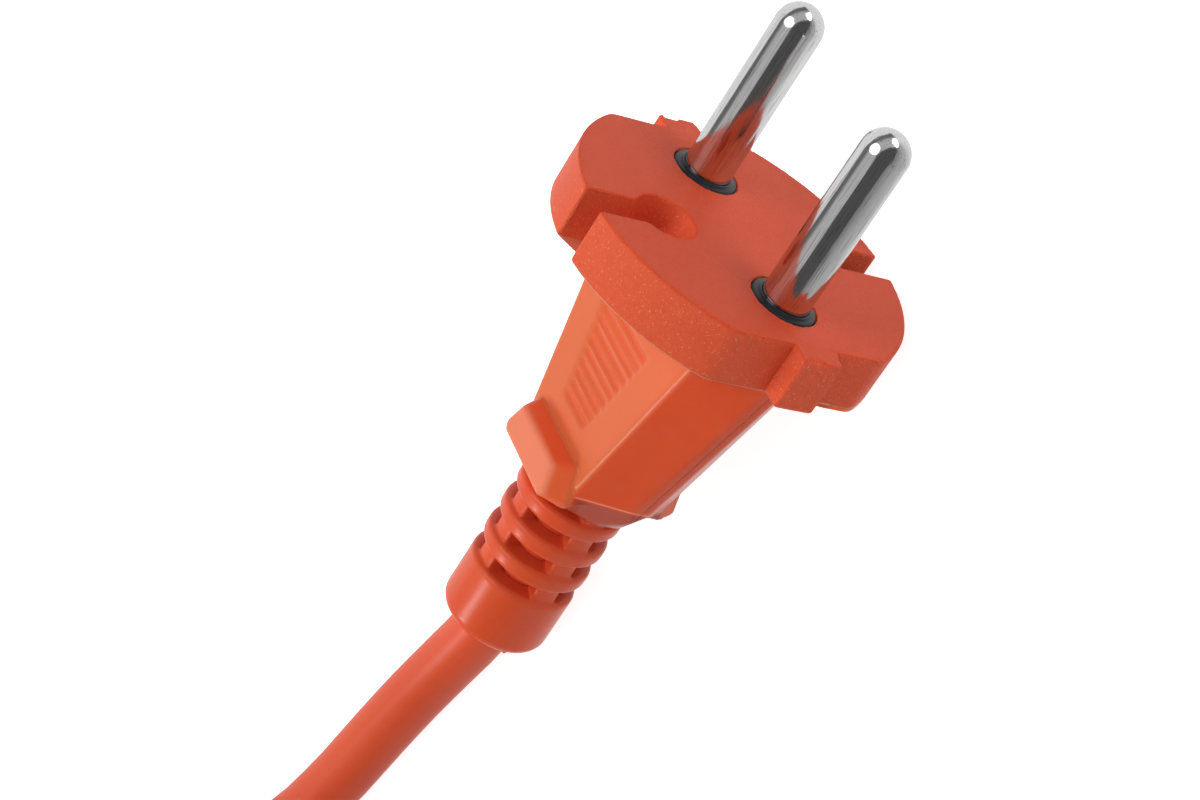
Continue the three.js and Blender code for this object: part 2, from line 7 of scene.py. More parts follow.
import bpy
import numpy as np
from mathutils import Matrix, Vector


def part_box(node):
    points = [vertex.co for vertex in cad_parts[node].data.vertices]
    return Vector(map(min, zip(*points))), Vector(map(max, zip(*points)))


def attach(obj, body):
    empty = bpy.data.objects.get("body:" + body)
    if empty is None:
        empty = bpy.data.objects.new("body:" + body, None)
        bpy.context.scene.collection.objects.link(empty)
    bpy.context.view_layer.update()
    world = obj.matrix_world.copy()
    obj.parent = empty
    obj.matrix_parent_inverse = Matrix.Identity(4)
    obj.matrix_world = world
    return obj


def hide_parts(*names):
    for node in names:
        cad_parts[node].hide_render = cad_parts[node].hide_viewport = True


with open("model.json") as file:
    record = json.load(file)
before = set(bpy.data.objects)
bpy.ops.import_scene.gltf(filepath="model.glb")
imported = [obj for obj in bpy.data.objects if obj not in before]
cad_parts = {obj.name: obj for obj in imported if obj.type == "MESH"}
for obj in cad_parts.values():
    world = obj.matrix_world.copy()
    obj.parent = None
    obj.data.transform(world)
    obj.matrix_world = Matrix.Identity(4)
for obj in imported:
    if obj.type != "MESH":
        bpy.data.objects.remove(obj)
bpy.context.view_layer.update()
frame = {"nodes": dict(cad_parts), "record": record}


# ---- camera, floor and light -------------------------------------------------------------------
# A macro view from above the pins, rolled so that the plug stands up on its own axis. Everything
# lies on one white sheet that keeps its shadow. The lamps are round: a broad one overhead, two
# beyond the hank, a fill on the near side and a low one ahead of the pins.
MM = 0.001
CAMERA_PLACE = (80.46, -177.08, 193.36)
CAMERA_FORWARD = (-0.32633, 0.66761, -0.66919)
CAMERA_RIGHT = (0.66598, -0.34001, -0.66397)
LENS = 84.77

camera_data = bpy.data.cameras.new("camera")
camera_data.lens = LENS
camera_data.sensor_width = 36.0
camera_data.clip_start = 0.01
camera_data.clip_end = 20.0
camera = bpy.data.objects.new("camera", camera_data)
bpy.context.scene.collection.objects.link(camera)
forward = np.array(CAMERA_FORWARD) / np.linalg.norm(CAMERA_FORWARD)
right = np.array(CAMERA_RIGHT) - np.dot(CAMERA_RIGHT, forward) * forward
right /= np.linalg.norm(right)
turn = np.eye(4)
turn[:3, 0] = right
turn[:3, 1] = np.cross(right, forward)
turn[:3, 2] = -forward
turn[:3, 3] = np.array(CAMERA_PLACE) * MM
camera.matrix_world = Matrix(turn)
bpy.context.scene.camera = camera
bpy.context.scene.view_settings.view_transform = "Standard"


class Socket:
    """A value in a node tree. The usual operators add the Math node that they stand for."""

    def __init__(self, tree, link):
        self.tree, self.link = tree, link

    def math(self, operation, *values):
        """The result of a Math node on those values."""
        return self.tree.node("ShaderNodeMath", {"operation": operation}, *values)

    def __add__(self, other):
        return self.math("ADD", self, other)

    def __radd__(self, other):
        return self.math("ADD", other, self)

    def __sub__(self, other):
        return self.math("SUBTRACT", self, other)

    def __rsub__(self, other):
        return self.math("SUBTRACT", other, self)

    def __mul__(self, other):
        return self.math("MULTIPLY", self, other)

    def __rmul__(self, other):
        return self.math("MULTIPLY", other, self)

    def __truediv__(self, other):
        return self.math("DIVIDE", self, other)

    def __rtruediv__(self, other):
        return self.math("DIVIDE", other, self)

    def __abs__(self):
        return self.math("ABSOLUTE", self)


class Shader:
    """The node tree of a material or a world. node() makes any node; the rest are short names."""

    def __init__(self, name, world=None):
        self.material = world or bpy.data.materials.new(name)
        self.material.use_nodes = True
        self.nodes = self.material.node_tree.nodes
        self.links = self.material.node_tree.links
        self.nodes.clear()
        self.out = self.nodes.new("ShaderNodeOutputWorld" if world else "ShaderNodeOutputMaterial")

    def node(self, kind, settings=None, *values, out=0, **named):
        """A node of that kind: its settings first, then the values or links of its sockets."""
        made = self.nodes.new(kind)
        for key, value in (settings or {}).items():
            if key == "stops":
                ramp = made.color_ramp.elements
                while len(ramp) < len(value):
                    ramp.new(0.5)
                for stop, (place, grey) in zip(ramp, value):
                    stop.position = place
                    stop.color = (grey, grey, grey, 1.0)
            else:
                setattr(made, key, value)
        named = {key.replace("_", " "): value for key, value in named.items()}
        for key, value in [*enumerate(values), *named.items()]:
            if isinstance(value, Socket):
                self.links.new(value.link, made.inputs[key])
            elif value is not None:
                made.inputs[key].default_value = value
        return Socket(self, made.outputs[out])

    def ray(self, kind):
        """1 for rays of that kind, 0 for others."""
        return self.node("ShaderNodeLightPath", out="Is " + kind + " Ray")

    def place(self):
        """Object coordinates in millimetres."""
        where = self.node("ShaderNodeTexCoord", out="Object")
        return self.node("ShaderNodeVectorMath", {"operation": "SCALE"}, where, Scale=1.0 / MM)

    def along(self, seat, axis):
        """Millimetres from a seat's origin along one of its own axes."""
        where = self.node("ShaderNodeVectorMath", {"operation": "DOT_PRODUCT"}, self.place(),
                          tuple(seat.axes[axis]), out="Value")
        return where - float(seat.axes[axis] @ seat.origin)

    def step(self, value, low, high):
        """Rises smoothly from 0 at low to 1 at high."""
        return self.node("ShaderNodeMapRange", {"interpolation_type": "SMOOTHSTEP"}, value, low, high,
                         0.0, 1.0)

    def stretched(self, seat, factors):
        """Coordinates along a seat's axes, each times its factor."""
        return self.node("ShaderNodeCombineXYZ", None,
                         *(self.along(seat, axis) * factor for axis, factor in enumerate(factors)))

    def noise(self, size, detail=2.0, roughness=0.5, where=None, distortion=0.0):
        """Noise from 0 to 1 with features about `size` millimetres wide."""
        return self.node("ShaderNodeTexNoise", None, where or self.place(), Scale=1.0 / size,
                         Detail=detail, Roughness=roughness, Distortion=distortion)

    def ramp(self, factor, *stops):
        """A ramp of greys: each stop is a place from 0 to 1 and the grey level there."""
        return self.node("ShaderNodeValToRGB", {"stops": stops}, factor)

    def mix(self, factor, first, second):
        """A colour from the first, at 0, to the second, at 1. Each is a socket or red, green, blue.
        The node's sockets 1 to 5 are for its other kinds of data."""
        pair = [colour if isinstance(colour, Socket) else (*colour, 1.0) for colour in (first, second)]
        return self.node("ShaderNodeMix", {"data_type": "RGBA"}, factor, *[None] * 5, *pair, out=2)

    def bump(self, height, distance):
        """A normal for a surface that stands out by height times that many millimetres."""
        return self.node("ShaderNodeBump", None, Strength=1.0, Distance=distance * MM, Height=height)

    def show(self, surface):
        """Puts a surface on the output."""
        self.links.new(surface.link, self.out.inputs[0])
        return self.material

    def finish(self, **sockets):
        """A Principled surface with those sockets, on the output."""
        return self.show(self.node("ShaderNodeBsdfPrincipled", None, **sockets))


STAGE_FADE = 150.0               # towards -Y, metal and gloss see the stage darken over this length


def white_stage(name, shade, glow):
    """A matte stage that still shows shadows, with enough glow for the camera to see it white.
    Metal and gloss see its glow white under the object, with a painted shade that greys it towards -Y."""
    stage = Shader(name)
    matte = stage.node("ShaderNodeBsdfDiffuse", None, (shade, shade, shade, 1.0))
    lifted = stage.node("ShaderNodeAddShader", None, matte,
                        stage.node("ShaderNodeEmission", None, (1.0, 1.0, 1.0, 1.0), glow))
    beside = stage.node("ShaderNodeSeparateXYZ", None, stage.place(), out="Y")
    # Painted shade for reflections: the glow that gloss and metal see darkens towards -Y.
    level = stage.ramp(beside / -STAGE_FADE, (0.0, 1.0), (0.08, 0.85), (0.15, 0.58), (0.4, 0.42),
                       (1.0, 0.3))
    white = stage.node("ShaderNodeEmission", None, level, 1.0)
    shown = stage.node("ShaderNodeMixShader", None, stage.ray("Camera"), matte, lifted)
    mirrored = stage.ray("Glossy") + stage.ray("Transmission")
    return stage.show(stage.node("ShaderNodeMixShader", None, mirrored, shown, white))


SHARP_EDGE = np.radians(35.0)


def mesh_object(name, vertices_mm, faces, material):
    """A mesh object at the origin from points in millimetres and arrays of faces, one array for
    each number of corners. It shades smooth, except at edges that turn by more than SHARP_EDGE."""
    mesh = bpy.data.meshes.new(name)
    faces = [np.asarray(group, np.int32) for group in faces]
    corners = np.concatenate([np.full(len(group), group.shape[1]) for group in faces])
    loops = np.concatenate([group.ravel() for group in faces])
    mesh.vertices.add(len(vertices_mm))
    mesh.vertices.foreach_set("co", (vertices_mm * MM).astype(np.float32).ravel())
    mesh.loops.add(len(loops))
    mesh.loops.foreach_set("vertex_index", loops)
    mesh.polygons.add(len(corners))
    mesh.polygons.foreach_set("loop_start", (np.cumsum(corners) - corners).astype(np.int32))
    mesh.polygons.foreach_set("use_smooth", np.ones(len(corners), bool))
    mesh.update(calc_edges=True)
    mesh.validate()
    mesh.set_sharp_from_angle(angle=SHARP_EDGE)
    mesh.materials.append(material)
    made = bpy.data.objects.new(name, mesh)
    bpy.context.scene.collection.objects.link(made)
    return made


def dress(piece, slot, *nodes):
    """Hangs a finished piece on the one rigid body and hides the CAD nodes it stands for.
    Its slot is not used.
    """
    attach(piece, "root")
    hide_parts(*nodes)
    return piece


FLOOR_HALF = 3000.0
FLOOR_DEPTH = 0.2                # under the ground, just clear of the disc's lower edge
floor_corners = np.array([[-1, -1], [1, -1], [1, 1], [-1, 1]]) * FLOOR_HALF
floor = mesh_object("floor", np.c_[floor_corners, np.full(4, -FLOOR_DEPTH)], [[[0, 1, 2, 3]]],
                    white_stage("stage_white", 0.9, 0.84))

# The room is white for the camera. Gloss and metal see it in bands from the far side to the near
# one: a white backdrop, a dark gap, the grey ceiling cloth, and the dark end of the room.
world = bpy.data.worlds.new("studio")
bpy.context.scene.world = world
room = Shader("studio", world)
ahead_y = room.node("ShaderNodeSeparateXYZ", None, room.node("ShaderNodeTexCoord"), out="Y")
near = ahead_y * -0.5 + 0.5      # from 0, straight towards +Y, to 1, straight towards -Y
bands = room.ramp(near, (0.0, 1.0), (0.18, 1.0), (0.21, 0.16), (0.33, 0.2), (0.4, 0.55), (0.69, 0.6),
                  (0.73, 0.1), (1.0, 0.1))
seen = room.mix(room.ray("Glossy"), (0.02, 0.02, 0.02), bands)
seen = room.mix(room.ray("Camera"), seen, (1.0, 1.0, 1.0))
room.show(room.node("ShaderNodeBackground", None, seen, 1.0))


def lamp(name, place, target, size, energy, mirrored=True):
    """A round area light at a place, aimed at a target, all in millimetres. A lamp that is not
    mirrored is hidden from gloss and metal, as behind a ceiling cloth."""
    data = bpy.data.lights.new(name, "AREA")
    data.shape = "DISK"
    data.size = size * MM
    data.energy = energy
    made = bpy.data.objects.new(name, data)
    bpy.context.scene.collection.objects.link(made)
    aim = np.array(place, float) - np.array(target, float)
    z = aim / np.linalg.norm(aim)
    x = np.cross([0.0, 0.0, 1.0], z)
    x = x / np.linalg.norm(x) if np.linalg.norm(x) > 1e-6 else np.array([1.0, 0.0, 0.0])
    matrix = np.eye(4)
    matrix[:3, :3] = np.array([x, np.cross(z, x), z]).T
    matrix[:3, 3] = np.array(place) * MM
    made.matrix_world = Matrix(matrix)
    made.visible_glossy = mirrored


lamp("overhead", (0, 0, 800), (0, 0, 0), 600, 2.9)
lamp("far_corner", (-560, 420, 420), (0, 0, 0), 700, 3.05, mirrored=False)
lamp("behind", (-600, 0, 450), (0, 0, 0), 120, 1.3)
lamp("near_side", (100, -500, 600), (0, 0, 0), 500, 1.4, mirrored=False)
lamp("low_ahead", (600, -50, 40), (0, 0, 10), 300, 1.6)


# ---- cord --------------------------------------------------------------------------------------
# Round two-core mains cord, 6.2 mm over a smooth orange sheath, 5 m long. It leaves the plug,
# comes down to the ground and is wound into a long hank of fourteen turns, whose last turn
# climbs into the coupler that lies on top.
CORD_DIAMETER = 6.2
CORD_RADIUS = CORD_DIAMETER / 2
RUN_POINTS = [
    (-7.9, 0, 11.64), (-13.6, 0, 10.16), (-19.4, 0, 8.66), (-25.2, 0, 7.16), (-31, 0, 5.66),
    (-35, 0.3, 4.72), (-40, 1.05, 3.88), (-46, 1.5, 3.38), (-52.5, 1.35, 3.16), (-58.5, 0.92, 3.12),
    (-66.6, 1.23, 3.12), (-71.3, 2.49, 3.12), (-75.7, 4.56, 3.12), (-79.7, 7.19, 3.12), (-84.1, 9.26, 3.12),
    (-88.8, 10.52, 3.12), (-93.6, 10.95, 3.12),
]
HANK_LOW, HANK_HIGH = (np.array(corner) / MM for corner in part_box("cord_hank"))
LAYER_STEP = 5.37                # less than a diameter, because turns lie in the gaps below them
LANES = [                        # radius of each turn at the ends, and its layer from the ground
    (31.0, 0), (24.8, 0), (18.6, 0), (21.7, 1), (27.9, 1), (31.0, 2), (24.8, 2), (18.6, 2),
    (21.7, 3), (27.9, 3), (31.0, 4), (24.8, 4), (18.6, 4), (21.7, 5),
]
PINCH = 15.5                     # how far the tie draws a lane in at the waist
STRETCH_POINTS = 16              # on each straight and each bend of a turn
CLIMB_FROM, CLIMB_OVER = 0.55, 0.45    # the shares of the way back before a climb and in it
ON_RUN = 4                       # so many points of the first turn give way to the run's
TAIL_BEND, TAIL_RISE = 18.8, 2.2       # radius of the last near bend, and its climb to the coupler
LINE_STEP, CORD_SIDES = 3.0, 32
RECESS_DEPTH = 15.0              # of the coupler's mouth
RELIEF_END, COUPLER_SHEATH = -74.0, -48.0    # of relief and sheath, along the coupler's own axis


class Seat:
    """A moulding's own axes. It is drawn with +X out along the pins or out of the mouth, Y along
    the line of the poles and the face at X = 0. The frame's flat mounts say where those faces are:
    the mount named lies behind_face millimetres behind the face."""

    def __init__(self, mount_name, behind_face=0.0):
        mount = next(m for m in frame["record"]["mounts"] if m["name"] == mount_name)
        out = np.array(mount["axis"], float)
        across = np.cross([0, 0, 1], out)
        across /= np.linalg.norm(across)
        self.axes = np.array([out, across, np.cross(out, across)])
        self.origin = np.array(mount["pos_m"]) / MM + behind_face * out

    def __call__(self, points):
        """Points carried into the frame: the origin plus each coordinate times its unit axis."""
        return self.origin + np.asarray(points, float) @ self.axes


plug_seat = Seat("plug_face")
coupler_seat = Seat("socket_floor", RECESS_DEPTH)


def unit(vectors):
    """Vectors divided by their lengths."""
    return vectors / np.linalg.norm(vectors, axis=-1, keepdims=True)


def smooth_line(points, step):
    """A curve through points: a cubic on each span, whose end slopes are those of the chord past
    both its neighbours, weighted by the spans' lengths. It comes back evenly spaced by step."""
    points = np.asarray(points, float)
    span = np.linalg.norm(np.diff(points, axis=0), axis=1)
    slope = np.diff(points, axis=0) / span[:, None]
    tangent = np.vstack([slope[:1], (slope[:-1] * span[1:, None] + slope[1:] * span[:-1, None])
                         / (span[1:] + span[:-1])[:, None], slope[-1:]])
    t = np.linspace(0, 1, 12, endpoint=False)[None, :, None]
    a, b = points[:-1, None], points[1:, None]
    ta, tb = tangent[:-1, None] * span[:, None, None], tangent[1:, None] * span[:, None, None]
    line = ((2*t**3 - 3*t**2 + 1) * a + (t**3 - 2*t**2 + t) * ta
            + (3*t**2 - 2*t**3) * b + (t**3 - t**2) * tb)
    return evenly(np.vstack([line.reshape(-1, 3), points[-1:]]), step)


def evenly(line, step):
    """The same line with its points spaced evenly, about step apart."""
    along = np.r_[0, np.cumsum(np.linalg.norm(np.diff(line, axis=0), axis=1))]
    wanted = np.linspace(0, along[-1], int(round(along[-1] / step)) + 1)
    return np.column_stack([np.interp(wanted, along, line[:, k]) for k in range(3)])


def ease(t):
    """0 before t = 0, 1 after t = 1, and 3 t squared less 2 t cubed between them."""
    t = np.clip(t, 0, 1)
    return t * t * (3 - 2 * t)


def hank_turns():
    """The turns' points, and the middle of the near bends. Each turn runs out along +Y's side,
    round the far end, back and round the near end: two straights, drawn in at the waist by a
    cosine, and two half circles. Its lane moves sideways to the next one on the near bend, or
    climbs a layer and moves sideways on the way back."""
    outer = (HANK_HIGH[1] - HANK_LOW[1]) / 2
    centre_y = (HANK_HIGH[1] + HANK_LOW[1]) / 2
    near_x, far_x = HANK_HIGH[0] - outer, HANK_LOW[0] + outer
    straight = near_x - far_x
    t = np.linspace(0, 1, STRETCH_POINTS, endpoint=False)
    bend = np.pi * t
    drawn_in = PINCH * (1 - np.cos(2 * np.pi * t)) / 2
    turns = []
    for (radius, layer), (next_radius, next_layer) in zip(LANES, LANES[1:] + [LANES[-1]]):
        z, next_z = CORD_RADIUS + layer * LAYER_STEP, CORD_RADIUS + next_layer * LAYER_STEP
        climbs = next_layer != layer
        rise = ease((t - CLIMB_FROM) / CLIMB_OVER) if climbs else np.zeros_like(t)
        back_radius = radius + (next_radius - radius) * rise
        start, end = (next_radius, next_radius) if climbs else (radius, next_radius)
        near_radius = start + (end - start) * ease(t)
        turns += [
            np.column_stack([near_x - straight * t, centre_y + radius - drawn_in, np.full_like(t, z)]),
            np.column_stack([far_x - radius * np.sin(bend), centre_y + radius * np.cos(bend),
                             np.full_like(t, z)]),
            np.column_stack([far_x + straight * t, centre_y - back_radius + drawn_in,
                             z + (next_z - z) * rise]),
            np.column_stack([near_x + near_radius * np.sin(bend), centre_y - near_radius * np.cos(bend),
                             np.full_like(t, next_z)]),
        ]
    return np.vstack(turns), near_x, centre_y


# The tail turns back on top of the hank, and climbs over the last 45 degrees of its bend.
turns, near_x, centre_y = hank_turns()
tail_in = coupler_seat([[RELIEF_END - 2.0, 0, 0], [RELIEF_END + 8.0, 0, 0], [COUPLER_SHEATH, 0, 0]])
top_z = CORD_RADIUS + LANES[-1][1] * LAYER_STEP
bend = np.radians(np.linspace(-90, 100, STRETCH_POINTS))
climb = np.clip((np.degrees(bend) - 55) / 45, 0, 1) ** 2
tail_bend = np.column_stack([near_x + TAIL_BEND * np.cos(bend),
                             centre_y - LANES[-1][0] + TAIL_BEND + TAIL_BEND * np.sin(bend),
                             top_z + TAIL_RISE * climb])
route = np.vstack([RUN_POINTS, turns[ON_RUN:-STRETCH_POINTS], tail_bend, tail_in])
line = smooth_line(route, LINE_STEP)


def tube(line, radius, sides):
    """The rings of a round tube: at each point of the line `sides` points, which lie the cosine
    and the sine of an angle times the radius away, in two directions across the line. These are
    carried along it without twisting: each less its part along the line, and again of length 1."""
    ahead = unit(np.gradient(line, axis=0))
    across = np.empty_like(line)
    first = np.cross(ahead[0], [0, 0, 1])
    across[0] = first / np.linalg.norm(first)
    for i in range(1, len(line)):
        carried = across[i - 1] - ahead[i] * np.dot(across[i - 1], ahead[i])
        across[i] = carried / np.linalg.norm(carried)
    other = np.cross(ahead, across)
    angle = np.arange(sides) * 2 * np.pi / sides
    return (line[:, None] + radius * np.cos(angle)[None, :, None] * across[:, None]
            + radius * np.sin(angle)[None, :, None] * other[:, None])


def closed_tube(rings):
    """Vertices and faces of rings of points that run on from each other: four-cornered faces
    between neighbouring rings, and a fan of triangles to the middle of the first and last ring."""
    rows, columns = rings.shape[:2]
    number = np.arange(rows * columns).reshape(rows, columns)
    onward = np.roll(number, -1, axis=1)
    walls = np.stack([number[:-1], onward[:-1], onward[1:], number[1:]], -1).reshape(-1, 4)
    low, high = rows * columns, rows * columns + 1
    ends = np.vstack([np.column_stack([onward[0], number[0], np.full(columns, low)]),
                      np.column_stack([number[-1], onward[-1], np.full(columns, high)])])
    return np.vstack([rings.reshape(-1, 3), rings[0].mean(0), rings[-1].mean(0)]), [walls, ends]


sheath = Shader("cord_sheath")
skin_noise = sheath.noise(0.8, 4.0, 0.6)
wave = sheath.noise(14.0, 2.0)
wear_and_sheen = sheath.step(sheath.noise(1.6, 5.0, 0.7, distortion=0.8), 0.62, 0.74)
tone = sheath.mix(wave, (0.675, 0.08, 0.029), (0.75, 0.102, 0.038))
sheath_material = sheath.finish(Base_Color=sheath.mix(wear_and_sheen * 0.1, tone, (0.9, 0.4, 0.26)),
                                Specular_IOR_Level=0.3,
                                Roughness=0.38 + skin_noise * 0.08 + wear_and_sheen * 0.1,
                                Normal=sheath.bump(skin_noise * 0.5 + wave, 0.03))
cord = mesh_object("cord", *closed_tube(tube(line, CORD_RADIUS, CORD_SIDES)), sheath_material)
dress(cord, "cord_sheath", "cord_run", "cord_hank", "cord_tail")


# ---- plug body ---------------------------------------------------------------------------------
# One shot of soft orange plastic over the pin carrier: a contour disc with a keyed slot above, a
# plain slot below and a lug on each side, and a six-sided grip that narrows to the cord, with
# finger grooves and a raised stop on both broad faces.
#
# A moulding is written as the distance of a point to its skin, below zero in the plastic, so that
# edges and joins get the small radii of a mould. skin() turns such a field into a mesh. A slanted
# plane is multiplied by a little less than 1, so that it still counts true millimetres.
DISC_THICKNESS, ARC_RADIUS, ARC_OFFSET, FLAT = 5.6, 18.7, 1.75, 15.8
REAR_SLOPE, REAR_REACH = 0.5, 3.2      # the disc thickens by this share of the way in, this far in
LOWER_EXTRA, LOWER_FROM, LOWER_OVER = 0.5, 1.5, 4.0    # and is thicker in its lower half
LUG_TIP, LUG_TOP, LUG_BOTTOM, LUG_ROOT = 17.95, 1.72, 2.9, 2.0
TOP_TAPER, BOTTOM_TAPER = 0.032, 0.2
NICK_DEPTH, NICK_LOW, NICK_HIGH = 0.45, -0.5, 1.3      # in each lug's tip, on the face
SLOT_HALF, PLAIN_SLOT_END = 1.67, 11.2
KEYHOLE_HEIGHT, KEYHOLE_RADIUS = 8.8, 3.1
RIDGE_STRIP = 0.93
GROOVE_PITCH, GROOVE_RADIUS, GROOVE_DEPTH, GROOVE_INSET = 1.13, 0.5, 0.3, 4.6
STOP_HEIGHT, STOP_FRONT, STOP_REAR, STOP_ROOT = 7.75, 5.3, 6.8, 3.0
STOP_DRAFT, STOP_LEAN = 0.6, 0.3       # of its sides and front, per millimetre up
LOWER_STOP_SHORT = 0.9
BEVEL, BEVEL_SLOPE = 2.4, 0.45         # behind the flanks: its length on the middle, and its steepness
BEVEL_TURN, BEVEL_FLAT = 0.55, 6.0     # it runs forward by so much per millimetre out, beyond so far out
REAR_SLANT, REAR_FLAT = 1.05, 6.7      # the same for the grip's rear face
POLE = 9.5
COLLAR_RADIUS, COLLAR_SUNK = 3.36, 0.5
PLUG_RELIEF = -30.0
NECK_RADIUS, NECK_LENGTH, NECK_BEHIND = 4.6, 6.5, 2.0
CARRIER_FRONT, CARRIER_BACK, CARRIER_WIDE, CARRIER_HIGH = -2.6, -6.6, 12.0, 3.4
SHOULDER_ROOM, BARREL_ROOM, SHEATH_ROOM = 1.8, 2.0, 1.1
PLUG_SHEATH, PLUG_BARED = -24.0, -14.4
PLUG_STEP = 0.258
PLUG_GRIP = dict(at=(-30.9, -5.0), wide=(5.43, 11.4), tall=(5.4, 6.0), ridge=(8.5, 15.55),
                 last_groove=-22.8, grooves=10, stop=(-30.1, -25.8))


def both(a, b, radius=0.0):
    """The solid that two have in common: the larger distance. Its new edge is a quarter round of
    that radius."""
    if radius == 0:
        return np.maximum(a, b)
    corner = np.hypot(np.maximum(a + radius, 0), np.maximum(b + radius, 0))
    return np.minimum(np.maximum(a, b), -radius) + corner


def either(a, b, radius=0.0):
    """Two solids joined, with a fillet of that radius between them."""
    return -both(-a, -b, radius)


def without(a, b, radius=0.0):
    """The first solid with the second cut out of it."""
    return both(a, -b, radius)


def between(values, low, high):
    """The slab from low to high: the distance from its middle less half its thickness."""
    return np.abs(values - (low + high) / 2) - (high - low) / 2


def skin(name, field, low, high, step, seat, material):
    """A mesh of the surface where field(x, y, z) is zero, in a moulding's own axes.

    Space is cut into cubes of side step. Each cube whose corners lie on both sides of the surface
    gives one vertex, which slides down the field's slope onto the surface. Each cube edge that
    the surface crosses gives a four-cornered face between the four cubes round that edge. Between
    the slides, each vertex moves half way to the middle of its neighbours, which evens the faces."""
    ticks = [np.arange(a, b + step, step, dtype=np.float32) for a, b in zip(low, high)]
    inside = field(*np.meshgrid(*ticks, indexing="ij")) < 0
    count = np.zeros(np.array(inside.shape) - 1, np.int8)
    for shift in np.ndindex(2, 2, 2):
        count += inside[tuple(slice(s, s + n) for s, n in zip(shift, count.shape))]
    mixed = (count > 0) & (count < 8)
    number = np.full(mixed.shape, -1, np.int32)
    number[mixed] = np.arange(mixed.sum())
    start = points = (np.argwhere(mixed) + 0.5) * step + np.array(low)

    def settle(points, nudge=0.02, least=0.2, reach=0.8):
        """One Newton step onto the surface: against the slope, by the field over the slope squared.
        It stays within a cube's width of the start."""
        slope = np.stack([(field(*(points + shift).T) - field(*(points - shift).T)) / (2 * nudge)
                          for shift in np.eye(3) * nudge], -1)
        steepness = np.maximum((slope ** 2).sum(-1, keepdims=True), least)
        move = -field(*points.T)[:, None] * slope / steepness
        return start + np.clip(points + move - start, -reach * step, reach * step)

    quads = []
    for axis in range(3):
        crossed = np.argwhere(np.diff(inside, axis=axis))
        along = np.arange(3) == axis
        crossed = crossed[((crossed > 0) & (crossed < np.array(number.shape)) | along).all(1)]
        first, second = np.eye(3, dtype=int)[(axis + 1) % 3], np.eye(3, dtype=int)[(axis + 2) % 3]
        around = np.stack([number[tuple((crossed - shift).T)]
                           for shift in (0 * first, first, first + second, second)], -1)
        quads.append(np.where(inside[tuple(crossed.T)][:, None], around, around[:, ::-1]))
    quads = np.vstack(quads)
    ends = np.vstack([quads[:, [k, (k + 1) % 4]] for k in range(4)])
    ends = np.vstack([ends, ends[:, ::-1]])
    degree = np.bincount(ends[:, 0], minlength=len(points))[:, None]
    for _ in range(3):
        points = settle(points)
        total = np.stack([np.bincount(ends[:, 0], points[ends[:, 1], k], len(points))
                          for k in range(3)], -1)
        points = points + 0.5 * (total / degree - points)
    for _ in range(3):
        points = settle(points)
    return mesh_object(name, seat(points), [quads], material)


def contour(y, z, grow=0.0, corner=0.4):
    """The outline of the disc, grown by that much: an arc above and one below, whose centres lie
    ARC_OFFSET beyond the middle, and a flat at each side."""
    above = np.hypot(y, z + ARC_OFFSET) - ARC_RADIUS - grow
    below = np.hypot(y, z - ARC_OFFSET) - ARC_RADIUS - grow
    return both(both(above, below), np.abs(y) - FLAT - grow, corner)


def lugs(y, z, grow=0.0):
    """The side lugs: bars across the flats, whose lower flank slopes more than the upper one."""
    out = np.abs(y) - FLAT
    upper = z - LUG_TOP + TOP_TAPER * out
    lower = -z - LUG_BOTTOM + BOTTOM_TAPER * out
    return both(both(upper - grow, lower - grow), both(out - LUG_TIP + FLAT - grow, -out - LUG_ROOT), 0.12)


def grip(x, y, z, at, wide, tall, ridge, last_groove, grooves, stop):
    """A six-sided bar that narrows evenly to the rear, where its flanks are bevelled and its sides
    slant forward, with finger grooves across both broad faces and a stop behind them. The lower
    stop ends a little further forward. at, wide, tall and ridge are pairs of values at the rear
    and the front: the place along, and there half the broad face's width, half the thickness and
    half the width from ridge to ridge. stop is its rear and front."""
    wide, tall, ridge = (np.interp(x, at, values) for values in (wide, tall, ridge))
    up, out = np.abs(z), np.abs(y)
    rise, run = tall - RIDGE_STRIP, ridge - wide
    flank = ((out - wide) * rise + (up - tall) * run) / np.hypot(rise, run)
    body = both(both(up - tall, flank, 0.4), out - ridge, 0.2)
    bevel_edge = at[0] + BEVEL + BEVEL_TURN * np.maximum(out - BEVEL_FLAT, 0)
    bevel = (flank + BEVEL_SLOPE * (bevel_edge - x)) * 0.9
    slanted_rear = (at[0] + REAR_SLANT * np.maximum(out - REAR_FLAT, 0) - x) * 0.7
    body = both(both(body, bevel, 0.06), slanted_rear, 0.2)
    nearest = np.clip(np.round((x - last_groove) / GROOVE_PITCH), 0, grooves - 1)
    along = nearest * GROOVE_PITCH + last_groove
    groove = np.hypot(x - along, up - tall - GROOVE_RADIUS + GROOVE_DEPTH) - GROOVE_RADIUS
    body = without(body, both(groove, (out - wide + GROOVE_INSET) * 0.6, 0.35), 0.28)
    half = np.interp(x, stop, (STOP_REAR, STOP_FRONT))
    sides = (out - half + STOP_DRAFT * (up - tall)) * 0.85
    front = (x - stop[1] + STOP_LEAN * (up - tall)) * 0.96
    behind = stop[0] + np.where(z < 0, LOWER_STOP_SHORT, 0.0) - x
    block = both(both(both(sides, front, 0.5), up - STOP_HEIGHT, 0.45), both(STOP_ROOT - up, behind, 0.05))
    past_bevel = np.clip(0.6 * (up - tall) + 1.0, -0.1, 1.0)    # less and less towards its foot
    block = both(block, bevel - past_bevel, 0.1)
    return both(either(body, block, 0.15), x - at[1])


def core_room(x, y, z, front, bared, sheath):
    """The flat hollow round the crimped ends, which narrows from the poles to the sheath."""
    half = np.interp(x, (sheath, bared), (CORD_RADIUS + SHEATH_ROOM, POLE + BARREL_ROOM))
    return both(both(np.abs(y) - half, np.abs(z) - BARREL_ROOM, 0.5), between(x, sheath, front), 0.3)


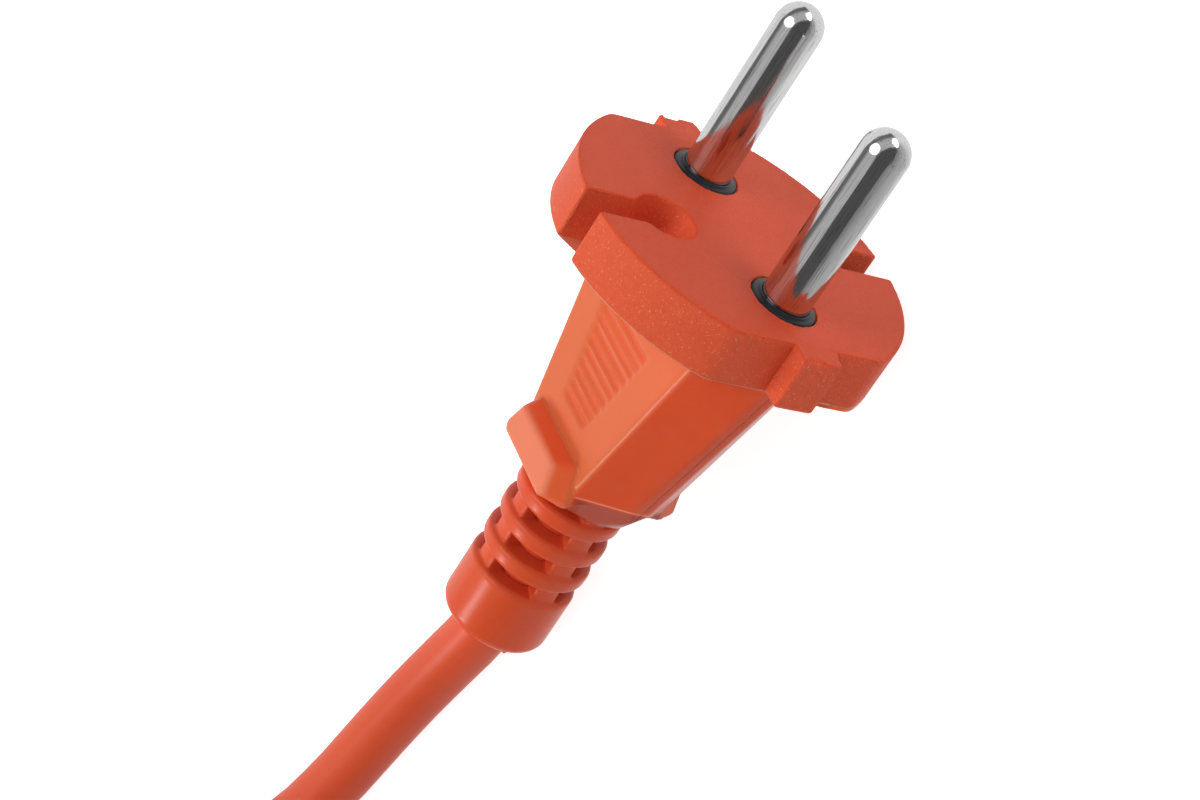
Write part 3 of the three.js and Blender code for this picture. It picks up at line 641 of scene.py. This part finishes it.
def neck_room(x, y, z, grip_end):
    """The round hollow for a relief's neck."""
    return both(np.hypot(y, z) - NECK_RADIUS, between(x, grip_end - NECK_BEHIND, grip_end + NECK_LENGTH))


def plug_field(x, y, z):
    """The disc with its lugs joined to the grip, less the nicks, the slots, the collars' holes, the
    carrier's room, the cores' and the relief's."""
    inward = np.clip(-contour(y, z), 0, REAR_REACH)
    rear = -DISC_THICKNESS - LOWER_EXTRA * ease((-z - LOWER_FROM) / LOWER_OVER) - REAR_SLOPE * inward
    disc = both(both(contour(y, z), (rear - x) * 0.9, 0.1), x, 0.2)
    side_lugs = both(lugs(y, z), between(x, -DISC_THICKNESS, 0), 0.12)
    nick = both((LUG_TIP - NICK_DEPTH - np.abs(y) - x) * 0.7, between(z, NICK_LOW, NICK_HIGH))
    disc = either(disc, without(side_lugs, nick, 0.05), 0.12)
    ring = np.hypot(y, z - KEYHOLE_HEIGHT) - KEYHOLE_RADIUS
    keyed = either(both(np.abs(y) - SLOT_HALF, KEYHOLE_HEIGHT - z), ring, 0.3)
    plain = either(both(np.abs(y) - SLOT_HALF, z + PLAIN_SLOT_END),
                   np.hypot(y, z + PLAIN_SLOT_END) - SLOT_HALF)
    disc = without(without(disc, keyed, 0.22), plain, 0.15)
    body = either(disc, grip(x, y, z, **PLUG_GRIP), 0.45)
    pole = np.hypot(np.abs(y) - POLE, z)
    body = without(body, both(pole - COLLAR_RADIUS, CARRIER_FRONT - COLLAR_SUNK - x), 0.08)
    carrier_room = both(both(np.abs(y) - CARRIER_WIDE, np.abs(z) - CARRIER_HIGH),
                        between(x, CARRIER_BACK - SHOULDER_ROOM, CARRIER_FRONT))
    body = without(without(body, carrier_room), core_room(x, y, z, CARRIER_BACK, PLUG_BARED, PLUG_SHEATH))
    return without(body, neck_room(x, y, z, PLUG_RELIEF))


def moulded_orange(name, seat, grained_from, shape=None):
    """Soft PVC. The part in front of grained_from along the seat's own axis has a spark-eroded
    grain, and the skin behind it is smooth. The grained outer wall is painted paler, a painted sheen,
    with painted glints as bright specks, and a pale line on the mould's fin where the grain ends is a
    painted highlight. On a grip of that shape the broad faces and the stops are painted paler, a
    painted sheen where they face the light; the bevel is painted darker, a painted shade, below a
    painted highlight along its fine edge; and a thin line marks where the mould's halves meet."""
    plastic = Shader(name)
    along, high = (plastic.along(seat, axis) for axis in (0, 2))
    grained = plastic.step(along, grained_from + 0.05, grained_from + 0.2)
    smooth = 1.0 - grained
    grain = plastic.noise(0.34, 3.0, 0.7)
    pits = plastic.noise(0.17, 2.0, 0.6)
    wall = grained * (1.0 - plastic.step(along, -0.35, -0.1))
    # Bright specks on the outer wall's grain: painted glints, painted highlights.
    painted_glint = plastic.step(pits * 0.6 + grain * 0.4, 0.61, 0.67) * wall
    cloud = plastic.noise(7.0, 3.0)
    haze = plastic.step(plastic.noise(4.0, 5.0, 0.65, distortion=1.5), 0.5, 0.75) * smooth
    scuff = plastic.step(plastic.noise(0.55, 5.0, 0.75, distortion=1.2), 0.66, 0.78)
    # A pale line where the grain ends, on the thin fin the mould leaves there: a painted highlight.
    flash_highlight = 1.0 - plastic.step(abs(along - grained_from), 0.03, 0.12)
    flash_highlight = flash_highlight * plastic.step(plastic.noise(2.5), 0.35, 0.6)
    tone = plastic.mix(cloud, (0.69, 0.078, 0.025), (0.755, 0.105, 0.036))
    tone = plastic.mix(grained * 0.5, tone, (0.9, 0.09, 0.028))
    # A painted sheen: the grained outer wall is painted paler than the face.
    tone = plastic.mix(wall * 0.4, tone, (0.88, 0.15, 0.065))
    tone = plastic.mix(haze * 0.3, tone, (0.66, 0.13, 0.075))
    tone = plastic.mix(scuff * 0.14, tone, (0.9, 0.42, 0.28))
    tone = plastic.mix(painted_glint * 0.6, tone, (1.0, 0.42, 0.26))
    tone = plastic.mix(flash_highlight * 0.6, tone, (1.0, 0.6, 0.42))
    height = grained * (grain + pits * 0.7) + smooth * grain * 0.08
    if shape:
        (rear, front), (low_end, high_end) = shape["at"], shape["tall"]
        slope = (high_end - low_end) / (front - rear)
        over = abs(high) - (along * slope + (low_end - rear * slope))    # above the broad face
        # A painted sheen: the broad faces and the stops, which face the light, are painted paler.
        wear_and_sheen = plastic.step(over, -0.42, -0.06) * smooth
        tone = plastic.mix(wear_and_sheen * 0.8, tone, (0.72, 0.165, 0.058))
        tone = plastic.mix(plastic.step(over, 0.15, 0.5) * smooth * 0.65, tone, (1.0, 0.145, 0.047))
        # A painted sheen on the tops of the stops.
        tone = plastic.mix(plastic.step(over, 1.7, 2.15) * smooth * 0.8, tone, (0.80, 0.225, 0.12))
        beyond = plastic.node("ShaderNodeMath", {"operation": "MAXIMUM"},
                              abs(plastic.along(seat, 1)) - BEVEL_FLAT, 0.0)
        ahead = along - beyond * BEVEL_TURN - (rear + BEVEL)
        beside = 1.0 - plastic.step(over, -0.6, -0.2)
        bevelled = (1.0 - plastic.step(ahead, -0.25, 0.0)) * beside
        # Painted shade: the bevel behind the flanks is painted dark.
        tone = plastic.mix(bevelled * 0.55, tone, (0.24, 0.035, 0.03))
        # A painted highlight: a bright fine line along the front edge of the bevel.
        edge = (1.0 - plastic.step(abs(ahead - 0.08), 0.04, 0.13)) * beside
        tone = plastic.mix(edge * 0.5, tone, (1.0, 0.42, 0.27))
        seam = (1.0 - plastic.step(abs(high), 0.03, 0.11)) * smooth
        tone = plastic.mix(seam * 0.45, tone, (0.3, 0.04, 0.025))
        height = height - seam * 0.5
    return plastic.finish(Base_Color=tone, Specular_IOR_Level=0.15 if shape else 0.22,
                          Roughness=0.28 + grained * 0.16 + scuff * 0.12 + haze * 0.06,
                          Normal=plastic.bump(height, 0.13))


plug_orange = moulded_orange("orange_moulding", plug_seat, -DISC_THICKNESS, PLUG_GRIP)
plug_body = skin("plug_body_moulding", plug_field, (-31.5, -19, -18), (1, 19, 18), PLUG_STEP, plug_seat,
                 plug_orange)
dress(plug_body, "orange_moulding", "plug_body")


# ---- pin carrier and pins ----------------------------------------------------------------------
# The pins are turned brass, nickel plated, with a round nose. A block of hard black plastic holds
# them, and its two collars come out through the face round the pins' feet.
PIN_RADIUS, PIN_LENGTH = 2.4, 19.2
PIN_FIT, CARRIER_FIT = 0.03, 0.1       # gaps round a pin, and round the block
COLLAR_PROUD, COLLAR_EDGE = 0.24, 0.06
SHOULDER_RADIUS, SHOULDER_LENGTH, SHOULDER_BEHIND = 3.0, 1.2, 0.3
BARREL_RADIUS, BARREL_END, PLUG_CRIMP = 1.7, 0.9, -11.2       # radius, that of a ring on its end, place
CHAMFER = 0.1


def carrier_field(x, y, z):
    """The block: three slabs in common, less a round hole for each pin."""
    block = both(both(np.abs(y) - CARRIER_WIDE + CARRIER_FIT, np.abs(z) - CARRIER_HIGH + CARRIER_FIT, 0.4),
                 between(x, CARRIER_BACK, CARRIER_FRONT - CARRIER_FIT), 0.3)
    return without(block, np.hypot(np.abs(y) - POLE, z) - PIN_RADIUS - PIN_FIT, 0.06)


def turned(profile, side, seat, columns=72):
    """A turned part: the profile's points (along, out) carried round the pole at that side, at
    out times the cosine across and out times the sine up. A profile that ends where it starts
    makes a ring."""
    along, out = np.array(profile, float).T
    angle = np.arange(columns) * 2 * np.pi / columns
    rings = np.stack([np.broadcast_to(along[:, None], (len(along), columns)),
                      side * POLE + out[:, None] * np.cos(angle), out[:, None] * np.sin(angle)], -1)
    if profile[0] != profile[-1]:
        vertices, faces = closed_tube(rings)
        return seat(vertices), faces
    rows = len(rings) - 1
    number = np.arange(rows * columns).reshape(rows, columns)
    onward, below = np.roll(number, -1, axis=1), np.roll(number, -1, axis=0)
    return (seat(rings[:-1].reshape(-1, 3)),
            [np.stack([number, below, np.roll(onward, -1, axis=0), onward], -1).reshape(-1, 4)])


def rounded(corners, radius, steps=5):
    """A profile whose corners, given as (along, out, rounded or not), become curves: a parabola
    that leaves each side of the corner at the radius from it."""
    corners = [np.array(c, float) for c in corners]
    line = []
    for k, (along, out, is_round) in enumerate(corners):
        here = np.array([along, out])
        if not is_round:
            line.append(tuple(here))
            continue
        before = here + radius * unit(corners[k - 1][:2] - here)
        after = here + radius * unit(corners[(k + 1) % len(corners)][:2] - here)
        for t in np.linspace(0, 1, steps):
            line.append(tuple((1 - t) ** 2 * before + 2 * t * (1 - t) * here + t ** 2 * after))
    return line


hard_black = Shader("black_moulding")
speck = hard_black.noise(0.5, 3.0)
black_material = hard_black.finish(
    Base_Color=hard_black.mix(speck, (0.009, 0.010, 0.014), (0.016, 0.018, 0.023)),
    Specular_IOR_Level=0.22, Roughness=0.24 + speck * 0.12, Normal=hard_black.bump(speck, 0.004))
carrier = skin("pin_carrier_block", carrier_field, (-7, -12.5, -4), (-2, 12.5, 4), 0.25, plug_seat,
               black_material)
dress(carrier, "black_moulding", "pin_carrier")

# A collar has a low rim round the pin, from which it slopes down to the orange skin.
collar_inside, collar_outside = PIN_RADIUS + PIN_FIT, COLLAR_RADIUS - 0.02
collar = rounded([(CARRIER_FRONT, collar_inside, 0), (COLLAR_PROUD, collar_inside, 1),
                  (COLLAR_PROUD, PIN_RADIUS + 0.26, 1), (COLLAR_PROUD - 0.16, PIN_RADIUS + 0.36, 1),
                  (COLLAR_PROUD - 0.22, COLLAR_RADIUS - 0.2, 1), (COLLAR_PROUD - 0.42, collar_outside, 1),
                  (CARRIER_FRONT, collar_outside, 0)], COLLAR_EDGE)
for name, side in (("pin_collar_1", 1), ("pin_collar_2", -1)):
    ring = mesh_object(name, *turned(collar + collar[:1], side, plug_seat), black_material)
    dress(ring, "black_moulding", "pin_carrier")


plating = Shader("pin_plating")
drawn = plating.stretched(plug_seat, (0.03, 1.0, 1.0))
streak = plating.noise(0.3, 3.0, 0.6, where=drawn)
scratch = plating.step(plating.noise(0.11, 2.0, where=drawn), 0.56, 0.66)
smear = plating.noise(2.2, 3.0)
tone = plating.mix(smear, (0.58, 0.58, 0.59), (0.70, 0.69, 0.68))
plating_material = plating.finish(
    Base_Color=plating.mix(scratch * 0.45, tone, (0.22, 0.215, 0.22)), Metallic=1.0,
    Roughness=0.06 + streak * 0.1 + scratch * 0.08, Normal=plating.bump(streak, 0.012))

# From the crimped end: the barrel, the shoulder, the shank, and a nose that is half a ball.
nose = np.radians(np.linspace(0, 88, 23))
shoulder = CARRIER_BACK - SHOULDER_BEHIND
shoulder_back = shoulder - SHOULDER_LENGTH
profile = [(PLUG_CRIMP, BARREL_END), (PLUG_CRIMP, BARREL_RADIUS - CHAMFER),
           (PLUG_CRIMP + CHAMFER, BARREL_RADIUS), (shoulder_back, BARREL_RADIUS),
           (shoulder_back, SHOULDER_RADIUS - CHAMFER), (shoulder_back + CHAMFER, SHOULDER_RADIUS),
           (shoulder - CHAMFER, SHOULDER_RADIUS), (shoulder, SHOULDER_RADIUS - CHAMFER),
           (shoulder, PIN_RADIUS), (0.0, PIN_RADIUS)]
profile += [(PIN_LENGTH - PIN_RADIUS + PIN_RADIUS * np.sin(a), PIN_RADIUS * np.cos(a)) for a in nose]
for name, side in (("pin_1", 1), ("pin_2", -1)):
    pin = mesh_object(name + "_turned", *turned(profile, side, plug_seat), plating_material)
    dress(pin, "pin_plating", name)


# ---- bend reliefs ------------------------------------------------------------------------------
# The same soft plastic, moulded on the cord first: a neck that the grip closes over, rings with
# windows between them down to the cord, and a long end sleeve with a rounded lip.
RELIEF_RADIUS, RELIEF_LENGTH = 5.65, 20.0
RELIEF_COLLAR, RELIEF_RING, RELIEF_WINDOW, RELIEF_RINGS = 0.75, 1.85, 1.6, 3
GRIP_OVERHANG = 0.9              # the grip's rear face lies this far over the relief's front
WEB_HALF_ANGLE, WEB_SUNK = np.radians(15.5), 0.5       # of the four webs between the rings
NIB_RADIUS, NIB_Y, NIB_Z = 0.3, -4.65, 0.25            # what is left of the gate, on the sleeve's end
COUPLER_RELIEF = RELIEF_END + RELIEF_LENGTH
RELIEF_STEP = 0.22


def relief_field(x, y, z, grip_end):
    """A round sleeve less its windows, which are rings of space between webs on the two axes, with
    a neck in front, a nib on its end and the cord's hole through it."""
    around = np.hypot(y, z)
    front = grip_end - GRIP_OVERHANG - 0.03
    sleeve = both(both(around - RELIEF_RADIUS, grip_end - RELIEF_LENGTH - x, 1.3), x - front, 0.1)
    pitch = RELIEF_RING + RELIEF_WINDOW
    first = grip_end - RELIEF_COLLAR - RELIEF_WINDOW / 2
    band = np.clip(np.round((first - x) / pitch), 0, RELIEF_RINGS)
    window = np.abs(x - first + band * pitch) - RELIEF_WINDOW / 2
    turn = np.arctan2(np.minimum(np.abs(y), np.abs(z)), np.maximum(np.abs(y), np.abs(z)))
    web = both(around * np.sin(turn - WEB_HALF_ANGLE), around - RELIEF_RADIUS + WEB_SUNK, 0.3)
    sleeve = without(sleeve, without(window, web, 0.2), 0.55)
    neck = both(around - NECK_RADIUS + 0.05, between(x, front - 0.4, grip_end + NECK_LENGTH - 0.1), 0.2)
    nib = np.sqrt((x - grip_end + RELIEF_LENGTH) ** 2 + (y - NIB_Y) ** 2 + (z - NIB_Z) ** 2) - NIB_RADIUS
    body = either(either(sleeve, neck, 0.1), nib, 0.1)
    return without(body, around - CORD_RADIUS - 0.06, 0.15)


def bend_relief(name, grip_end, seat):
    """The relief of a moulding whose grip ends there."""
    relief = skin(name + "_moulding", lambda x, y, z: relief_field(x, y, z, grip_end),
                  (grip_end - RELIEF_LENGTH - 0.6, -6, -6), (grip_end + NECK_LENGTH + 0.4, 6, 6),
                  RELIEF_STEP, seat, relief_orange)
    return dress(relief, "orange_moulding", name)


NO_GRAIN = 100.0                 # grained_from where nothing is grained
relief_orange = moulded_orange("orange_relief", plug_seat, NO_GRAIN)
bend_relief("plug_bend_relief", PLUG_RELIEF, plug_seat)
coupler_relief = bend_relief("coupler_bend_relief", COUPLER_RELIEF, coupler_seat)


# ---- cores and crimped ends --------------------------------------------------------------------
# Inside each moulding the cord splits into a brown and a blue core of PVC, bared to fine copper
# strands that are crimped in the barrels. Their plain forms are right, so they only get finishes.
def core_material(name, dark, light):
    """Plain PVC that wanders between two colours."""
    pvc = Shader(name)
    mottle = pvc.noise(1.2, 3.0)
    return pvc.finish(Base_Color=pvc.mix(mottle, dark, light), Roughness=0.34 + mottle * 0.1,
                      Normal=pvc.bump(mottle, 0.02))


strands = Shader("copper_strands")
lay = strands.node("ShaderNodeTexWave", {"bands_direction": "DIAGONAL"}, strands.place(), 2.2, 0.6)
copper = strands.finish(Base_Color=strands.mix(lay, (0.42, 0.15, 0.07), (0.93, 0.47, 0.3)),
                        Metallic=1.0, Roughness=0.24 + lay * 0.12, Normal=strands.bump(lay, 0.05))
brown = core_material("core_brown", (0.085, 0.03, 0.014), (0.125, 0.046, 0.022))
blue = core_material("core_blue", (0.012, 0.09, 0.32), (0.02, 0.125, 0.42))
finishes = {"core_brown": brown, "core_blue": blue, "strands_brown": copper, "strands_blue": copper}
for end in ("plug_", "coupler_"):
    for core, material in finishes.items():
        frame["nodes"][end + core].material_slots[0].material = material


# ---- coupler -----------------------------------------------------------------------------------
# The socket end of the cord: a moulding of the same plastic whose deep mouth takes the disc and
# its lugs. A black insert closes the mouth's floor, in front of two slit brass sleeves with a
# spring ring round each.
BARREL_OUTSIDE, BARREL_FLAT, BARREL_LENGTH = 21.6, 19.4, 24.0
RECESS_GAP, LUG_GAP = 0.7, 0.5
INSERT_RADIUS, INSERT_THICKNESS, INSERT_HOLE = 15.2, 3.0, 2.9
BOSS_RADIUS, BOSS_LENGTH, SLEEVE_RECESS = 4.4, 3.0, 3.3
INSERT_GROOVE, INSERT_GROOVE_HALF = 13.6, 0.3    # a ring: its radius, and half its width or its depth
INSERT_FIT, BOSS_FIT = 0.05, 0.3
SLEEVE_ROOM, SLEEVE_BACK, COUPLER_BARED = 4.1, -32.0, -39.4
COUPLER_STEP, INSERT_STEP = 0.4, 0.3
COUPLER_GRIP = dict(at=(-54.9, -23.0), wide=(5.27, 14.6), tall=(4.78, 9.2), ridge=(8.14, 18.9),
                    last_groove=-46.8, grooves=12, stop=(-54.1, -49.8))


def coupler_field(x, y, z):
    """The barrel joined to the grip, less the mouth, the insert's seat, the sleeves' rooms, the
    cores' and the relief's."""
    barrel = both(both(np.hypot(y, z) - BARREL_OUTSIDE, np.abs(y) - BARREL_FLAT, 0.6),
                  between(x, -BARREL_LENGTH, 0), 0.9)
    body = either(barrel, grip(x, y, z, **COUPLER_GRIP), 1.2)
    mouth = both(either(contour(y, z, RECESS_GAP), lugs(y, z, LUG_GAP), 0.2), -RECESS_DEPTH - x, 0.3)
    body = without(body, mouth, 0.5)
    insert_back = -RECESS_DEPTH - INSERT_THICKNESS
    seat_room = both(np.hypot(y, z) - INSERT_RADIUS - INSERT_FIT,
                     between(x, insert_back - 0.1, -RECESS_DEPTH + 1))
    pole = np.hypot(np.abs(y) - POLE, z)
    sleeve_room = either(both(pole - BOSS_RADIUS - BOSS_FIT,
                              between(x, insert_back - BOSS_LENGTH - BOSS_FIT, insert_back)),
                         both(pole - SLEEVE_ROOM, between(x, SLEEVE_BACK, insert_back)))
    body = without(without(body, seat_room), sleeve_room)
    body = without(body, core_room(x, y, z, SLEEVE_BACK + 1.0, COUPLER_BARED, COUPLER_SHEATH))
    return without(body, neck_room(x, y, z, COUPLER_RELIEF))


coupler_orange = moulded_orange("orange_coupler", coupler_seat, -BARREL_LENGTH, COUPLER_GRIP)
coupler = skin("coupler_body_moulding", coupler_field, (-55.2, -20.4, -22.4), (1.2, 20.4, 22.4),
               COUPLER_STEP, coupler_seat, coupler_orange)
dress(coupler, "orange_moulding", "coupler_body")


def insert_field(x, y, z):
    """A round plate with a ring groove in its face, joined to two bosses behind it, less a bevelled
    hole for each pin and a recess for each sleeve."""
    back = -RECESS_DEPTH - INSERT_THICKNESS
    around, pole = np.hypot(y, z), np.hypot(np.abs(y) - POLE, z)
    plate = both(around - INSERT_RADIUS, between(x, back, -RECESS_DEPTH), 0.2)
    groove = both(np.abs(around - INSERT_GROOVE) - INSERT_GROOVE_HALF,
                  -RECESS_DEPTH - INSERT_GROOVE_HALF - x)
    plate = without(plate, groove, 0.1)
    bosses = both(pole - BOSS_RADIUS, between(x, back - BOSS_LENGTH, back + 1.0), 0.2)
    insert = without(either(plate, bosses, 0.3), pole - INSERT_HOLE, 0.7)
    return without(insert, both(pole - SLEEVE_RECESS, x - back), 0.1)


insert = skin("socket_insert_moulding", insert_field, (-21.6, -15.6, -15.6), (-14.2, 15.6, 15.6),
              INSERT_STEP, coupler_seat, black_material)
dress(insert, "black_moulding", "socket_insert")

brass = Shader("contact_brass")
tarnish = brass.noise(1.6, 4.0, 0.6)
brass_material = brass.finish(
    Base_Color=brass.mix(tarnish, (0.62, 0.40, 0.13), (0.83, 0.6, 0.26)), Metallic=1.0,
    Roughness=0.2 + tarnish * 0.2, Normal=brass.bump(tarnish, 0.01))
steel = Shader("spring_steel")
oil = steel.noise(1.0, 3.0)
steel_material = steel.finish(
    Base_Color=steel.mix(oil, (0.30, 0.31, 0.34), (0.46, 0.47, 0.5)), Metallic=1.0,
    Roughness=0.22 + oil * 0.15, Normal=steel.bump(oil, 0.006))
for number in "12":
    frame["nodes"]["contact_sleeve_" + number].material_slots[0].material = brass_material
    frame["nodes"]["contact_spring_" + number].material_slots[0].material = steel_material


# ---- tie ---------------------------------------------------------------------------------------
# A black hook-and-loop strap of woven nylon, 15 mm wide, wound once round the hank's waist. It is
# held by its loose end, which has a round tip and lies on the strap itself on the -Y side.
STRAP_HALF, STRAP_THICKNESS, STRAP_CORNER = 7.4, 1.25, 4.0
STRAP_LAP = 24.0                 # length of the part that lies on the strap
STRAP_START = 4.0                # from the lower corner on the -Y side
STRAP_INSET = 1.4                # of its inner line from the room the frame gives it
STRAP_STEP, STRAP_SIDES = 0.35, 40
TIE_LOW, TIE_HIGH = (np.array(corner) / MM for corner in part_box("cord_tie"))


def strap_path():
    """The strap's inner line in the plane across the hank: once round a rectangle with rounded
    corners, then on over its own first stretch, a strap's thickness further out. Points (y, z),
    the outward direction, and the distance along. On a side a point is the side's start plus the
    distance since then, and on a corner it is the middle plus the radius times the direction."""
    centre = (TIE_LOW[1:] + TIE_HIGH[1:]) / 2
    half = (TIE_HIGH[1:] - TIE_LOW[1:]) / 2 - STRAP_INSET
    sides = [2 * half[1] - 2 * STRAP_CORNER, 2 * half[0] - 2 * STRAP_CORNER] * 2
    arc = STRAP_CORNER * np.pi / 2
    around = sum(sides) + 4 * arc
    s = np.arange(0, around + STRAP_LAP, STRAP_STEP)
    place, outward = np.empty((len(s), 2)), np.empty((len(s), 2))
    at = (s + STRAP_START) % around
    done = 0.0
    for k, length in enumerate(sides):
        turn = np.pi - k * np.pi / 2             # the -Y side first, going up, then the top
        out = np.array([np.cos(turn), np.sin(turn)])
        ahead = np.array([out[1], -out[0]])
        corner_start = centre + out * half[k % 2] - ahead * (half[(k + 1) % 2] - STRAP_CORNER)
        on = (at >= done) & (at < done + length)
        place[on] = corner_start + (at[on] - done)[:, None] * ahead
        outward[on] = out
        done += length
        on = (at >= done) & (at < done + arc)
        angle = (at[on] - done)[:, None] / STRAP_CORNER
        middle = corner_start + length * ahead - out * STRAP_CORNER
        outward[on] = np.cos(angle) * out + np.sin(angle) * ahead
        place[on] = middle + STRAP_CORNER * outward[on]
        done += arc
    lift = (STRAP_THICKNESS + 0.1) * ease((s - around + 5.0) / 7.0)
    return place + lift[:, None] * outward, outward, s


# Across the strap: a flat band with rounded edges, from powers of the cosine and the sine of a
# turn. Its width closes to a round tip at each end.
place, outward, distance = strap_path()
tip = np.minimum(distance - distance[0], distance[-1] - distance)
width = STRAP_HALF * np.sqrt(np.clip(1 - np.clip(1 - tip / STRAP_HALF * 1.6, 0, 1) ** 2, 0.02, 1))
turn = -np.arange(STRAP_SIDES) * 2 * np.pi / STRAP_SIDES
across = np.sign(np.cos(turn)) * np.abs(np.cos(turn)) ** 0.35
deep = np.sign(np.sin(turn)) * np.abs(np.sin(turn)) ** 0.6
middle_x = (TIE_LOW[0] + TIE_HIGH[0]) / 2
rings = np.empty((len(distance), STRAP_SIDES, 3))
rings[:, :, 0] = middle_x + width[:, None] * across
rings[:, :, 1:] = place[:, None] + ((deep[None, :, None] + 1) * STRAP_THICKNESS / 2) * outward[:, None]
tie_vertices, tie_faces = closed_tube(rings)

strap = Shader("tie_strap")
weave = strap.node("ShaderNodeTexWave", {"bands_direction": "X"}, strap.place(), 1.1, 1.5, 2.0)
loops = strap.noise(0.5, 5.0, 0.75)
nap = strap.noise(3.0, 2.0)
strap_material = strap.finish(
    Base_Color=strap.mix(loops, (0.008, 0.008, 0.009), (0.05, 0.05, 0.055)),
    Roughness=0.75 + nap * 0.15, Sheen_Weight=0.3, Normal=strap.bump(loops * 0.8 + weave * 0.3, 0.18))
tie = mesh_object("cord_tie_strap", tie_vertices, tie_faces, strap_material)
dress(tie, "tie_strap", "cord_tie")


# ---- where the cord leaves the plug ------------------------------------------------------------
# The cord leaves the plug at its relief's end. That point is worked out below, in metres, and not used
# further.
plug_seat([PLUG_RELIEF - RELIEF_LENGTH, 0, 0]) * MM
